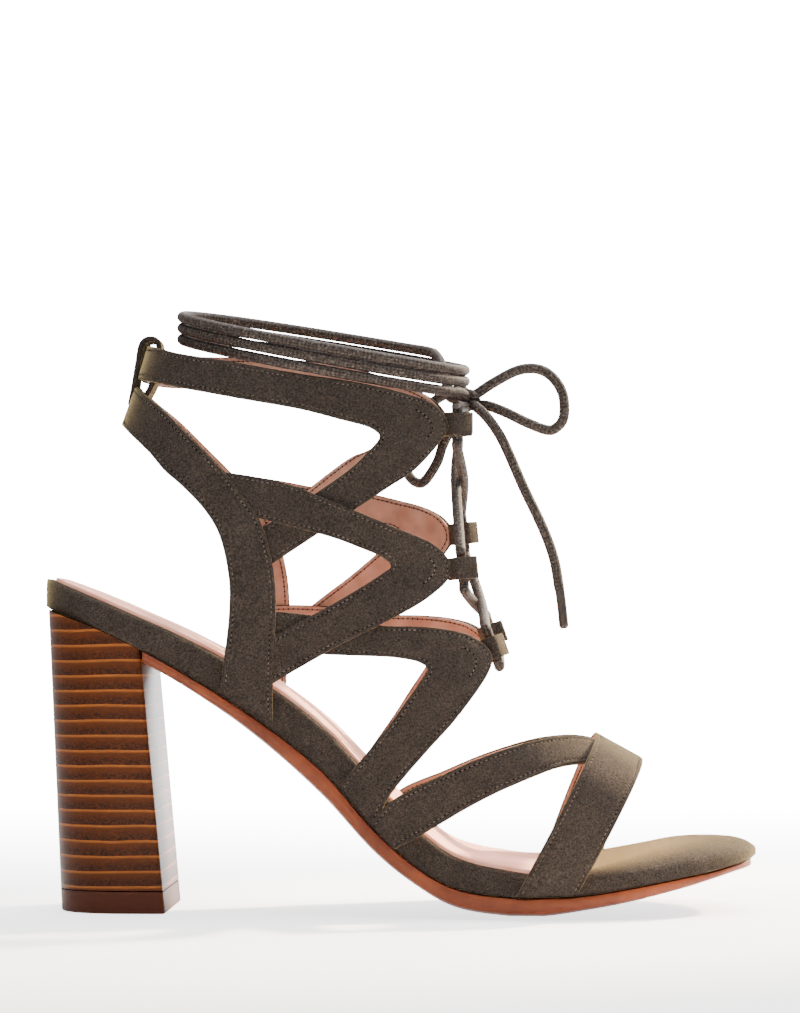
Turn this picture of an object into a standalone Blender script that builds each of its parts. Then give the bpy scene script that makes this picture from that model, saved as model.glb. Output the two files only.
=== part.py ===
"""Lace-up block-heel sandal, right shoe, size EU 38.

All tables are in millimetres: x runs from the back of the heel to the toe, z up from the
floor, and a strap's row is read from the side of the shoe. The lateral side lies at -Y.
"""
import math

import bmesh
import bpy
from mathutils import Quaternion, Vector

MM = 0.001
LATERAL = -1.0
MEDIAL = 1.0
GAP = 0.35
SHARP_ANGLE = 35.0

STRAP_WALL = 2.0
STRAP_CLEAR = 0.7
STRAP_STEPS = 2
OUTSOLE_EDGE_RISE = 2.3
OUTSOLE_EDGE_SHARE = 0.45
OUTSOLE_FLAT_SHARE = 0.4
OUTSOLE_START = 32.3
OUTSOLE_END = 212.0
SOCK_INSET = 2.2
SOCK_WALL = 0.9
SOCK_END = 157.0
BED_EDGE = 3.0
BED_EDGE_DROP = 0.9
BED_EDGE_SHARE = 0.4
BED_DROP_SHARE = 0.3

HEEL_TOP_PIECE = 6.5
HEEL_BREAST_TOP = 31.2
HEEL_BREAST_FOOT = 38.7
HEEL_BACK_TOP = 2.3
HEEL_BACK_FOOT = 6.0
HEEL_HALF_TOP = 25.6
HEEL_HALF_FOOT = 23.0
HEEL_ROUNDING = 20.0
HEEL_SQUARENESS = 2.6
HEEL_ARC_STEPS = 6
HEEL_NOSE_HALF = 0.6
HEEL_FOOT_INSET = 0.5
HEEL_FOOT_EDGE = 1.0

ANKLE_HALF_WIDTH = 27.0
ANKLE_BLEND_FROM = 30.0
ANKLE_BLEND_OVER = 80.0
FRONT_ROUNDING = 38.0
BACK_ROUNDING = 30.0
ROUNDNESS = 2.3
ANKLE_INSIDE = (80.0, 0.0, 110.0)
INSTEP_INSIDE = (135.0, 0.0, 20.0)
TOES_INSIDE = (160.0, 0.0, 5.0)

LACE_DIAMETER = 3.1
LACE_TURNS = 3
LACE_PITCH = 3.4
TURN_BACK = 41.0
TURN_FRONT = 127.0
TURN_HALF_WIDTH = 28.2
TURN_Z_BACK = 167.15
TURN_SLOPE = 0.175
TURN_MEDIAL_RISE = 7.5
TURN_POINTS = 24
TURN_FIRST = 2
TURN_LEFT_OFF = 2

LOOP_LENGTH = 8.0
LOOP_DEPTH = 6.4
LOOP_WALL = 1.1
LOOP_HEIGHT = 6.5
LOOP_SIDES = 14
LOOP_AIM = 2.0

# x, top of the footbed, its underside, lateral and medial half widths, tread,
# and how far the outsole stands out from the footbed
SOLE_COLUMNS = ("x", "top", "under", "lateral", "medial", "tread", "lip")
SOLE = (
    (0.3, 99.4, 91.0, 4.0, 4.0, 87.0, 1.0),
    (1.6, 99.2, 90.4, 9.0, 9.0, 86.5, 1.0),
    (4.5, 98.3, 89.3, 14.9, 14.9, 85.4, 1.0),
    (9.0, 96.6, 87.8, 20.1, 20.1, 83.9, 1.0),
    (16.0, 93.8, 85.2, 24.6, 24.6, 81.2, 1.0),
    (27.0, 89.1, 80.3, 27.0, 27.0, 76.2, 1.0),
    (45.0, 81.0, 70.5, 26.5, 26.0, 66.0, 1.0),
    (65.0, 70.0, 58.0, 26.0, 24.0, 52.0, 1.0),
    (85.0, 55.5, 42.5, 27.5, 24.0, 34.5, 1.0),
    (100.0, 40.0, 26.0, 30.5, 26.0, 18.5, 1.0),
    (112.0, 27.0, 15.5, 33.5, 29.0, 9.0, 1.0),
    (124.0, 18.0, 9.0, 36.5, 32.5, 2.5, 1.0),
    (140.0, 14.0, 6.5, 39.0, 37.0, 0.0, 1.0),
    (150.0, 13.0, 6.5, 39.5, 39.5, 0.0, 1.0),
    (161.0, 14.0, 7.0, 39.0, 41.0, 1.5, 1.0),
    (175.0, 17.0, 9.0, 36.5, 40.5, 4.0, 0.8),
    (190.0, 20.5, 11.5, 30.5, 37.0, 7.5, 0.3),
    (199.5, 21.5, 13.0, 24.0, 31.5, 10.0, -0.3),
    (207.0, 21.5, 14.5, 16.5, 24.5, 12.0, -0.9),
    (211.5, 20.5, 15.5, 9.5, 18.0, 13.0, -1.3),
    (214.0, 19.0, 16.5, 2.5, 11.5, 14.5, -1.5),
)

# front and back lines of the foot that the straps are shaped on: x at a height z
FRONT_LINE = ((206.0, 24.0), (178.5, 43.4), (167.0, 50.4), (155.0, 61.5), (143.0, 78.0),
              (133.0, 101.0), (128.5, 144.0), (128.0, 180.0))
BACK_LINE = ((4.0, 100.0), (18.0, 125.0), (24.6, 145.3), (28.8, 157.0), (32.6, 170.0))

# each strap row: outer edge x and z, inner edge x and z, lift over the straps
# below it, and how much higher the medial twin of the row sits
STRAP_COLUMNS = ("outer_x", "outer_z", "inner_x", "inner_z", "lift", "rise")
LOW_CHEVRON = (
    (62.0, 89.5, 62.0, 78.5, 0.0, 2.0),
    (75.0, 88.8, 74.5, 77.4, 0.0, 3.0),
    (90.0, 86.8, 87.0, 76.4, 0.0, 4.0),
    (103.0, 84.8, 97.0, 76.0, 0.0, 4.0),
    (112.5, 84.4, 105.5, 75.6, 0.0, 4.0),
    (121.5, 83.4, 112.0, 74.6, 0.0, 4.0),
    (129.0, 81.0, 115.3, 73.2, 0.0, 4.0),
    (134.0, 76.0, 116.3, 71.4, 0.0, 4.0),
    (133.0, 69.5, 115.0, 69.3, 0.0, 4.0),
    (125.0, 58.0, 110.5, 63.0, 0.0, 3.5),
    (117.0, 49.0, 105.0, 55.4, 0.0, 2.5),
    (110.0, 41.0, 99.5, 48.6, 0.0, 1.5),
    (105.0, 34.5, 95.2, 43.4, 0.0, 0.5),
    (101.6, 26.6, 91.0, 38.2, 0.0, 0.0),
)
MIDDLE_CHEVRON = (
    (52.5, 130.6, 57.5, 119.0, 0.8, 2.0),
    (64.0, 129.0, 68.5, 116.0, 0.8, 2.5),
    (75.0, 126.6, 80.0, 113.0, 1.4, 3.0),
    (85.5, 122.5, 88.5, 110.7, 1.5, 5.0),
    (95.5, 118.4, 96.5, 107.6, 1.5, 8.5),
    (106.0, 113.8, 102.0, 105.3, 0.8, 10.6),
    (114.0, 110.5, 104.4, 103.8, 0.2, 11.4),
    (119.8, 106.6, 105.2, 102.8, 0.0, 11.7),
    (122.4, 101.6, 105.2, 101.9, 0.0, 11.7),
    (120.4, 96.8, 103.8, 100.7, 0.0, 11.4),
    (113.8, 91.2, 98.2, 96.9, 0.8, 10.2),
    (103.4, 85.4, 90.4, 92.2, 1.5, 8.4),
    (90.5, 79.0, 81.5, 87.4, 1.5, 6.5),
    (77.5, 71.8, 72.6, 82.6, 1.2, 4.0),
    (66.5, 65.4, 62.5, 76.6, 0.7, 2.0),
)
TOP_CHEVRON = (
    (32.4, 169.5, 29.5, 159.4, 0.0, 0.0),
    (33.5, 168.9, 30.6, 158.9, 0.0, 0.3),
    (37.4, 167.4, 34.5, 157.5, 0.0, 1.4),
    (44.5, 165.2, 43.4, 155.2, 0.0, 4.0),
    (60.5, 162.4, 60.0, 152.0, 0.0, 7.0),
    (79.0, 159.1, 78.0, 148.8, 0.0, 9.0),
    (96.0, 156.5, 90.5, 145.6, 0.0, 8.4),
    (110.0, 153.2, 98.0, 143.6, 0.0, 6.2),
    (117.5, 150.3, 101.0, 142.0, 0.0, 4.2),
    (121.0, 145.0, 101.9, 140.6, 0.0, 3.0),
    (119.5, 140.2, 100.8, 138.6, 0.0, 3.8),
    (112.3, 131.2, 95.6, 132.9, 0.0, 7.0),
    (104.0, 125.2, 90.0, 128.4, 0.0, 9.0),
    (88.0, 114.6, 78.0, 120.4, 0.0, 8.0),
    (71.0, 103.4, 67.0, 113.4, 0.0, 6.0),
    (63.0, 98.6, 59.0, 108.4, 0.0, 4.0),
)
SLING = (
    (70.8, 57.0, 55.4, 65.2, 0.0, 0.0),
    (70.9, 66.5, 56.0, 71.0, 1.2, 0.0),
    (71.1, 76.2, 56.8, 77.6, 1.5, 0.0),
    (71.8, 91.0, 57.9, 88.2, 1.5, 0.0),
    (70.7, 103.0, 57.9, 98.4, 1.5, 0.0),
    (67.2, 115.2, 55.5, 110.2, 1.5, 0.0),
    (62.0, 123.0, 51.3, 118.1, 1.5, 0.0),
    (55.5, 131.0, 44.5, 125.6, 1.4, 0.0),
    (45.5, 141.4, 39.0, 130.6, 0.6, 0.0),
    (38.4, 148.6, 34.4, 136.0, 0.0, 0.0),
    (32.5, 153.6, 28.6, 141.6, 0.0, 0.0),
    (29.8, 156.2, 25.6, 144.6, 0.0, 0.0),
    (28.8, 157.0, 24.6, 145.3, 0.0, 0.0),
)
VAMP_STRAP = (
    (100.2, 27.6, 107.2, 20.0, 0.9, 0.0),
    (107.6, 34.6, 114.6, 24.0, 0.8, 0.0),
    (120.0, 41.0, 125.0, 30.3, 0.0, -1.2),
    (132.0, 46.3, 135.0, 35.7, 0.0, -1.6),
    (144.0, 50.0, 145.0, 40.0, 0.0, -1.6),
    (153.5, 51.6, 153.5, 43.0, 0.0, -1.4),
    (160.5, 51.2, 160.0, 44.0, 0.0, -0.8),
    (167.0, 49.0, 166.0, 43.6, 0.0, 0.0),
    (171.5, 46.4, 170.5, 41.6, 0.0, 0.0),
)

# toe band: x and z of its two edges at the lateral base, the ridge and the medial base
TOE_BAND_REAR = ((142.0, 7.0), (165.0, 50.2), (149.0, 7.1))
TOE_BAND_FRONT = ((159.8, 7.9), (178.8, 42.6), (168.5, 8.9))
TOE_BAND_LIFT = 1.2
TOE_BAND_LIFT_RATE = 2.0
TOE_BAND_ROWS = 20

HEEL_LOOP_HALF_WIDTH = 5.5
HEEL_LOOP_WALL = 1.6
HEEL_LOOP_PATH = ((25.6, 152.0), (26.7, 157.5), (27.9, 165.0), (28.9, 170.2), (31.0, 172.0),
                  (33.9, 171.0), (34.1, 165.0), (32.3, 158.5), (28.9, 152.4))

# lace loops: the tip of each chevron, as x and z, the medial twin's rise, lean, clearance
# and turn across the instep in degrees
LOOP_COLUMNS = ("level", "x", "z", "rise", "lean", "clear", "turn")
LOOP_TIPS = (
    ("low", 132.6, 77.4, 4.2, 0.36, 0.9, 30.0),
    ("middle", 122.4, 101.6, 11.7, 0.1, 0.1, 0.0),
    ("top", 121.0, 144.8, 3.0, 0.0, 0.1, 0.0),
)
LOOP_STOPS = (6.6, 4.6, -4.6, -6.6)
TOP_STOPS = (5.6, 4.6, -4.6, -6.6)
LOW_STOPS = (6.6, 4.6, -4.6, -5.6)
CROSSING_STEPS = 2
CROSSING_SPREAD = 1.7
CROSSING_BULGE = -0.2
BAR_DROP = 6.0
LATERAL_LACE_TOP = (126.8, -5.5, 151.1)
MEDIAL_LACE_TOP = (125.0, 3.2, 151.8)

# ends of the turns, the knot, and points along the bow's cords, as x, y, z
TURN_LEAD = ((126.6, -5.9, 154.8), (124.9, -10.4, 155.3))
TURN_TAIL = ((118.2, 15.4, 168.4), (120.2, 10.0, 164.2), (121.4, 5.4, 159.2), (122.2, 1.8, 156.0),
             (122.9, -0.4, 154.2))
KNOT_CENTRE = (127.6, -1.2, 153.4)
KNOT_HALF_SIZE = (3.0, 4.2, 2.6)
KNOT_SEGMENTS = 12
KNOT_RINGS = 8
BOW_LOOP = ((130.8, -2.2, 155.4), (136.4, -3.8, 158.9), (143.3, -5.0, 162.2), (149.2, -5.6, 162.4),
            (153.6, -5.9, 159.8), (156.6, -6.2, 154.6), (156.8, -6.6, 147.8), (154.4, -6.8, 144.5),
            (151.4, -6.8, 144.0), (145.3, -6.4, 146.4), (139.6, -5.2, 149.3), (134.3, -3.4, 151.5),
            (131.0, -1.6, 152.0))
HANGING_LOOP = ((129.6, 3.0, 152.6), (130.2, 9.0, 154.4), (128.8, 17.4, 154.2), (123.9, 25.4, 149.0),
                (120.0, 28.2, 142.0), (117.8, 29.0, 136.0), (113.2, 29.6, 130.0), (108.9, 30.2, 132.8),
                (108.4, 30.8, 140.0), (111.4, 30.4, 148.4), (116.6, 27.2, 155.0), (122.2, 18.6, 157.4),
                (126.4, 9.0, 157.0), (127.0, 3.4, 155.8))
LACE_END = ((130.0, -4.7, 151.5), (133.2, -7.2, 148.4), (136.3, -8.6, 144.2), (139.2, -9.2, 139.0),
            (144.6, -9.7, 126.6), (150.3, -10.1, 114.5), (153.6, -10.4, 105.4), (155.2, -10.4, 96.6))
LACE_TIP = ((155.35, -10.4, 96.0), (156.0, -10.4, 91.0), (156.6, -10.4, 85.0))
CORD_STEPS = 3
CORD_ROUNDNESS = 2

COLOURS = {
    "suede": ((0.066, 0.055, 0.046, 1.0), 0.95),
    "outsole": ((0.42, 0.13, 0.045, 1.0), 0.4),
    "heel": ((0.12, 0.042, 0.014, 1.0), 0.45),
    "heel_tip": ((0.065, 0.024, 0.014, 1.0), 0.4),
    "sock": ((0.76, 0.45, 0.34, 1.0), 0.5),
    "lace": ((0.085, 0.073, 0.062, 1.0), 0.55),
    "lace_tip": ((0.06, 0.05, 0.045, 1.0), 0.3),
}


def blend(a, b, t):
    """Mix two numbers."""
    return a + (b - a) * t


def limit(value, low=0.0, high=1.0):
    """Keep a value between two bounds."""
    return max(low, min(high, value))


def read(table, column, x):
    """Read one column of a table at x, on a smooth curve through its rows."""
    last = len(table) - 2
    row = 0
    while row < last and x > table[row + 1][0]:
        row += 1
    x0, x1 = table[row][0], table[row + 1][0]
    t = limit((x - x0) / (x1 - x0))
    before, after = max(row - 1, 0), min(row + 2, last + 1)
    slope0 = (table[row + 1][column] - table[before][column]) / (x1 - table[before][0])
    slope1 = (table[after][column] - table[row][column]) / (table[after][0] - x0)
    width = x1 - x0
    return ((2 * t**3 - 3 * t**2 + 1) * table[row][column] + (t**3 - 2 * t**2 + t) * width * slope0
            + (3 * t**2 - 2 * t**3) * table[row + 1][column] + (t**3 - t**2) * width * slope1)


def sole(name, x):
    """One measure of the sole at x."""
    return read(SOLE, SOLE_COLUMNS.index(name), x)


def half_width(x, side):
    """Half width of the footbed at x on one side."""
    return sole("lateral" if side < 0 else "medial", x)


def line_distance(line, x, z):
    """Shortest distance from a side-view point to a line of points."""
    best = None
    for (ax, az), (bx, bz) in zip(line, line[1:]):
        run = (bx - ax) ** 2 + (bz - az) ** 2
        t = limit(((x - ax) * (bx - ax) + (z - az) * (bz - az)) / run)
        reach = math.hypot(x - blend(ax, bx, t), z - blend(az, bz, t))
        best = reach if best is None else min(best, reach)
    return best


def back_line(z):
    """Back of the foot at a height z."""
    for (ax, az), (bx, bz) in zip(BACK_LINE, BACK_LINE[1:]):
        if z <= bz:
            break
    return blend(ax, bx, (z - az) / (bz - az))


def rounding(distance, depth):
    """Share of the full half width that is left near the front or back line."""
    near = 1.0 - limit(distance / depth)
    return (1.0 - near ** ROUNDNESS) ** (1.0 / ROUNDNESS)


def form_half_width(x, z, side):
    """Half width of the foot at a side-view point, nothing behind the back line."""
    share = limit((z - ANKLE_BLEND_FROM) / ANKLE_BLEND_OVER)
    width = blend(half_width(x, side) + STRAP_CLEAR, ANKLE_HALF_WIDTH, share)
    front = rounding(line_distance(FRONT_LINE, x, z), FRONT_ROUNDING)
    back = rounding(x - back_line(z), BACK_ROUNDING)
    return width * front * back


def material(name):
    """Principled material of one finish."""
    mat = bpy.data.materials.get(name)
    if mat is None:
        colour, roughness = COLOURS[name]
        mat = bpy.data.materials.new(name)
        mat.use_nodes = True
        shader = mat.node_tree.nodes["Principled BSDF"]
        shader.inputs["Base Color"].default_value = colour
        shader.inputs["Roughness"].default_value = roughness
        shader.inputs["Metallic"].default_value = 0.0
    return mat


def add_object(name, mesh, finish):
    """Put a mesh in the sandal's collection, with its own material."""
    obj = bpy.data.objects.new(name, mesh)
    own = material(finish).copy()
    own.name = name + "_" + finish
    obj.data.materials.clear()
    obj.data.materials.append(own)
    bpy.data.collections["lace_up_sandal"].objects.link(obj)
    return obj


def finish_mesh(name, bm):
    """Turn the faces outwards and make the mesh."""
    bmesh.ops.recalc_face_normals(bm, faces=bm.faces)
    mesh = bpy.data.meshes.new(name)
    bm.to_mesh(mesh)
    bm.free()
    mesh.shade_smooth()
    mesh.set_sharp_from_angle(angle=math.radians(SHARP_ANGLE))
    return mesh


def loft(name, rings, finish):
    """Closed solid through rings of points; each ring is a ladder of pairs."""
    bm = bmesh.new()
    grid = [[bm.verts.new(Vector(p) * MM) for p in ring] for ring in rings]
    count = len(rings[0])
    for low, high in zip(grid, grid[1:]):
        for k in range(count):
            bm.faces.new((low[k], low[(k + 1) % count], high[(k + 1) % count], high[k]))
    for ring in (grid[0], grid[-1]):
        for k in range(count // 2 - 1):
            bm.faces.new((ring[k], ring[k + 1], ring[count - 2 - k], ring[count - 1 - k]))
    return add_object(name, finish_mesh(name, bm), finish)


def catmull(rows, steps):
    """Rows on a smooth curve through the given rows, with steps between each two."""
    fine = []
    for i in range(len(rows) - 1):
        a, b, c, d = (rows[max(i - 1, 0)], rows[i], rows[i + 1], rows[min(i + 2, len(rows) - 1)])
        for k in range(steps):
            t = k / steps
            fine.append(tuple(
                0.5 * (2 * q + (r - p) * t + (2 * p - 5 * q + 4 * r - s) * t**2
                       + (3 * q - p - 3 * r + s) * t**3)
                for p, q, r, s in zip(a, b, c, d)))
    fine.append(tuple(rows[-1]))
    return fine


def make_footbed():
    """Covered insole board with rounded upper edges."""
    rings = []
    for row in SOLE:
        size = dict(zip(SOLE_COLUMNS, row))
        edge = min(BED_EDGE, BED_EDGE_SHARE * size["lateral"])
        drop = min(BED_EDGE_DROP, BED_DROP_SHARE * edge)
        left, right = -size["lateral"], size["medial"]
        top, under = size["top"], size["under"]
        rings.append(((left, under), (left, top - edge), (left + drop, top - drop), (left + edge, top),
                      (right - edge, top), (right - drop, top - drop), (right, top - edge),
                      (right, under)))
    rings = [[(row[0], y, z) for y, z in ring] for row, ring in zip(SOLE, rings)]
    return loft("footbed", rings, "suede")


def make_outsole():
    """Outsole from the breast of the heel to the toe, flat under the ball."""
    rings = []
    stations = [OUTSOLE_START] + [row[0] for row in SOLE if OUTSOLE_START < row[0] < OUTSOLE_END]
    for x in stations:
        left = -sole("lateral", x) - sole("lip", x)
        right = sole("medial", x) + sole("lip", x)
        top = sole("under", x) - GAP
        tread = max(0.0, sole("tread", x))
        rise = min(OUTSOLE_EDGE_RISE, OUTSOLE_EDGE_SHARE * (top - tread))
        flat = OUTSOLE_FLAT_SHARE
        rings.append([(x, left, top), (x, left, tread + rise), (x, flat * left, tread),
                      (x, flat * right, tread), (x, right, tread + rise), (x, right, top)])
    return loft("outsole", rings, "outsole")


def make_sock():
    """Thin lining sheet on the footbed, ending under the toe band."""
    rings = []
    stations = [row[0] for row in SOLE if SOLE[1][0] < row[0] < SOCK_END] + [SOCK_END]
    for x in stations:
        left = -sole("lateral", x) + SOCK_INSET
        right = sole("medial", x) - SOCK_INSET
        low = sole("top", x) + GAP
        rings.append([(x, left, low), (x, right, low),
                      (x, right, low + SOCK_WALL), (x, left, low + SOCK_WALL)])
    return loft("insole_sock", rings, "sock")


def heel_outline(back, breast, half):
    """Plan outline of the heel, breast corner to breast corner round the back."""
    side = [(breast, half)]
    for k in range(HEEL_ARC_STEPS, 0, -1):
        reach = 1.0 - math.cos(math.radians(90.0 * k / HEEL_ARC_STEPS))
        share = (1.0 - (1.0 - reach) ** HEEL_SQUARENESS) ** (1.0 / HEEL_SQUARENESS)
        side.append((back + HEEL_ROUNDING * reach, half * share))
    nose = [(back, -HEEL_NOSE_HALF), (back, HEEL_NOSE_HALF)]
    return [(x, -y) for x, y in side] + nose + [(x, y) for x, y in reversed(side)]


def heel_ring(share, inset=0.0):
    """Heel outline between its foot (0) and its top (1)."""
    return heel_outline(blend(HEEL_BACK_FOOT, HEEL_BACK_TOP, share) + inset,
                        blend(HEEL_BREAST_FOOT, HEEL_BREAST_TOP, share) - inset,
                        blend(HEEL_HALF_FOOT, HEEL_HALF_TOP, share) - inset)


def make_heel():
    """Stacked heel block under the seat, and the rubber piece that it walks on."""
    height = sole("under", HEEL_BREAST_TOP)
    joint = HEEL_TOP_PIECE / height
    low = [(x, y, HEEL_TOP_PIECE + GAP) for x, y in heel_ring(joint)]
    high = [(x, y, sole("under", x) - GAP) for x, y in heel_ring(1.0)]
    block = loft("heel_block", [low, high], "heel")
    foot = [(x, y, 0.0) for x, y in heel_ring(0.0, HEEL_FOOT_INSET)]
    edge = [(x, y, HEEL_FOOT_EDGE) for x, y in heel_ring(0.0)]
    seat = [(x, y, HEEL_TOP_PIECE) for x, y in heel_ring(joint)]
    tip = loft("heel_top_piece", [foot, edge, seat], "heel_tip")
    return [block, tip]


def strip(name, rows, inside):
    """Strap with a wall: rows of edge, middle and edge points, each with its lift."""
    centre = Vector(inside)
    rings = []
    for i, (points, lift) in enumerate(rows):
        before = rows[max(i - 1, 0)][0]
        after = rows[min(i + 1, len(rows) - 1)][0]
        across = points[2] - points[0]
        normals = []
        for k, point in enumerate(points):
            normal = across.cross(after[k] - before[k]).normalized()
            if normal.dot(point - centre) < 0.0:
                normal.negate()
            normals.append(normal)
        lower = [p + n * lift for p, n in zip(points, normals)]
        upper = [p + n * (lift + STRAP_WALL) for p, n in zip(points, normals)]
        rings.append(lower + upper[::-1])
    return loft(name, rings, "suede")


def side_rows(table, side):
    """Rows of a strap on one side of the foot, from its side-view table."""
    rows = []
    for values in catmull(table, STRAP_STEPS):
        row = dict(zip(STRAP_COLUMNS, values))
        points = []
        for t in (0.0, 0.5, 1.0):
            x = blend(row["outer_x"], row["inner_x"], t)
            z = blend(row["outer_z"], row["inner_z"], t) + (row["rise"] if side > 0 else 0.0)
            points.append(Vector((x, side * form_half_width(x, z, side), z)))
        rows.append((points, max(row["lift"], 0.0)))
    return rows


def ring_rows(table, back_first):
    """Rows of a strap that goes round the back, from one side to the other."""
    lateral = side_rows(table, LATERAL)
    medial = side_rows(table, MEDIAL)
    if back_first:
        return lateral[::-1] + medial[1:]
    return lateral + medial[::-1][1:]


def toe_band_rows():
    """Rows of the band over the toes, from the lateral base to the medial base."""
    rows = []
    for k in range(TOE_BAND_ROWS + 1):
        turn = math.pi * k / TOE_BAND_ROWS
        side = LATERAL if turn < math.pi / 2 else MEDIAL
        height = math.sin(turn) ** (2.0 / ROUNDNESS)
        edges = []
        for lateral, ridge, medial in (TOE_BAND_REAR, TOE_BAND_FRONT):
            base = lateral if side < 0 else medial
            edges.append((blend(base[0], ridge[0], height), blend(base[1], ridge[1], height)))
        points = []
        for t in (0.0, 0.5, 1.0):
            x = blend(edges[0][0], edges[1][0], t)
            z = blend(edges[0][1], edges[1][1], t)
            base_width = half_width(x, side) + STRAP_CLEAR
            share = abs(math.cos(turn)) ** (2.0 / ROUNDNESS)
            points.append(Vector((x, side * base_width * share, z)))
        rows.append((points, TOE_BAND_LIFT * limit(TOE_BAND_LIFT_RATE * height)))
    return rows


def make_heel_loop():
    """Tab at the back that folds over the ankle strap and joins it to the sling."""
    rings = []
    path = [Vector((x, 0.0, z)) for x, z in HEEL_LOOP_PATH]
    for i, point in enumerate(path):
        along = (path[min(i + 1, len(path) - 1)] - path[max(i - 1, 0)]).normalized()
        out = Vector((-along.z, 0.0, along.x)) * (HEEL_LOOP_WALL / 2)
        side = Vector((0.0, HEEL_LOOP_HALF_WIDTH, 0.0))
        rings.append([point - out - side, point - out + side, point + out + side, point + out - side])
    return loft("heel_loop", rings, "suede")


def join(name, pieces):
    """Union of overlapping solids as one object."""
    base = pieces[0]
    for piece in pieces[1:]:
        cut = base.modifiers.new("join", "BOOLEAN")
        cut.operation = "UNION"
        cut.solver = "EXACT"
        cut.object = piece
        bpy.context.view_layer.update()
        whole = base.evaluated_get(bpy.context.evaluated_depsgraph_get())
        mesh = bpy.data.meshes.new_from_object(whole)
        base.modifiers.clear()
        base.data = mesh
        bpy.data.objects.remove(piece)
    base.name = name
    base.data.name = name
    base.data.shade_smooth()
    base.data.set_sharp_from_angle(angle=math.radians(SHARP_ANGLE))
    return base


def make_upper():
    """Straps of the upper, joined where they cross."""
    pieces = [strip("upper", ring_rows(SLING, False), ANKLE_INSIDE),
              strip("top_chevrons", ring_rows(TOP_CHEVRON, True), ANKLE_INSIDE)]
    for side in (LATERAL, MEDIAL):
        pieces.append(strip("middle_chevron", side_rows(MIDDLE_CHEVRON, side), ANKLE_INSIDE))
        pieces.append(strip("low_chevron", side_rows(LOW_CHEVRON, side), ANKLE_INSIDE))
        pieces.append(strip("vamp_strap", side_rows(VAMP_STRAP, side), INSTEP_INSIDE))
    pieces.append(strip("toe_band", toe_band_rows(), TOES_INSIDE))
    pieces.append(make_heel_loop())
    return join("upper", pieces)


def loop_places():
    """Centre, axis, reach and outward direction of each lace loop, by level and side."""
    places = {}
    for tip in LOOP_TIPS:
        row = dict(zip(LOOP_COLUMNS, tip))
        for side in (LATERAL, MEDIAL):
            x = row["x"]
            height = row["z"] + (row["rise"] if side > 0 else 0.0)
            y = side * form_half_width(x, height, side)
            behind = side * form_half_width(x - LOOP_AIM, height, side)
            axis = Vector((-row["lean"], 0.0, 1.0)).normalized()
            reach = Vector((LOOP_AIM, y - behind, 0.0))
            reach = (reach - axis * reach.dot(axis)).normalized()
            reach = Quaternion(axis, math.radians(-side * row["turn"])) @ reach
            out = reach.cross(axis) * -side
            tip_middle = Vector((x, y, height)) + out * (STRAP_WALL / 2)
            centre = tip_middle + reach * (row["clear"] + LOOP_LENGTH / 2)
            places[row["level"], side] = (centre, axis, reach, out)
    return places


def make_lace_loops(places):
    """Folded tabs at the chevron tips, each a flat ring that the lace runs through."""
    loops = []
    for (level, side), (centre, axis, reach, out) in places.items():
        bm = bmesh.new()
        rails = []
        for inset, end in ((0.0, -0.5), (0.0, 0.5), (LOOP_WALL, 0.5), (LOOP_WALL, -0.5)):
            rail = []
            for k in range(LOOP_SIDES):
                turn = 2.0 * math.pi * k / LOOP_SIDES
                point = (centre + axis * (end * LOOP_HEIGHT)
                         + reach * ((LOOP_LENGTH / 2 - inset) * math.cos(turn))
                         + out * ((LOOP_DEPTH / 2 - inset) * math.sin(turn)))
                rail.append(bm.verts.new(point * MM))
            rails.append(rail)
        for low, high in zip(rails, rails[1:] + rails[:1]):
            for k in range(LOOP_SIDES):
                after = (k + 1) % LOOP_SIDES
                bm.faces.new((low[k], low[after], high[after], high[k]))
        name = "lace_loop_%s_%s" % (level, "lateral" if side < 0 else "medial")
        loops.append(add_object(name, finish_mesh(name, bm), "suede"))
    return loops


def cord(name, points, finish="lace"):
    """Round cord along points, as a curve with filled ends."""
    curve = bpy.data.curves.new(name, "CURVE")
    curve.dimensions = "3D"
    curve.bevel_depth = LACE_DIAMETER / 2 * MM
    curve.bevel_resolution = CORD_ROUNDNESS
    curve.use_fill_caps = True
    spline = curve.splines.new("POLY")
    spline.points.add(len(points) - 1)
    for target, point in zip(spline.points, points):
        target.co = (Vector(point) * MM).to_4d()
    return add_object(name, curve, finish)


def crossing_points(places):
    """Route of the lace down one side's loops, across the foot and up the other side's."""
    def through(level, side, stops):
        centre, axis = places[level, side][:2]
        return [centre + axis * stop for stop in stops]

    def middle(level_a, level_b, spread):
        high, low = places[level_a, LATERAL][0], places[level_b, MEDIAL][0]
        return [(high + low) / 2 + Vector((CROSSING_BULGE + spread, 0.0, 0.0))]

    low_lateral, low_medial = places["low", LATERAL], places["low", MEDIAL]
    bar = (low_lateral[0] + low_medial[0]) / 2 - low_lateral[1] * BAR_DROP
    return ([Vector(LATERAL_LACE_TOP)] + through("top", LATERAL, TOP_STOPS)
            + middle("top", "middle", CROSSING_SPREAD) + through("middle", MEDIAL, LOOP_STOPS)
            + middle("middle", "low", CROSSING_SPREAD) + through("low", LATERAL, LOW_STOPS)
            + [bar] + through("low", MEDIAL, LOW_STOPS[::-1])
            + middle("middle", "low", -CROSSING_SPREAD) + through("middle", LATERAL, LOOP_STOPS[::-1])
            + middle("top", "middle", -CROSSING_SPREAD) + through("top", MEDIAL, TOP_STOPS[::-1])
            + [Vector(MEDIAL_LACE_TOP)])


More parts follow.
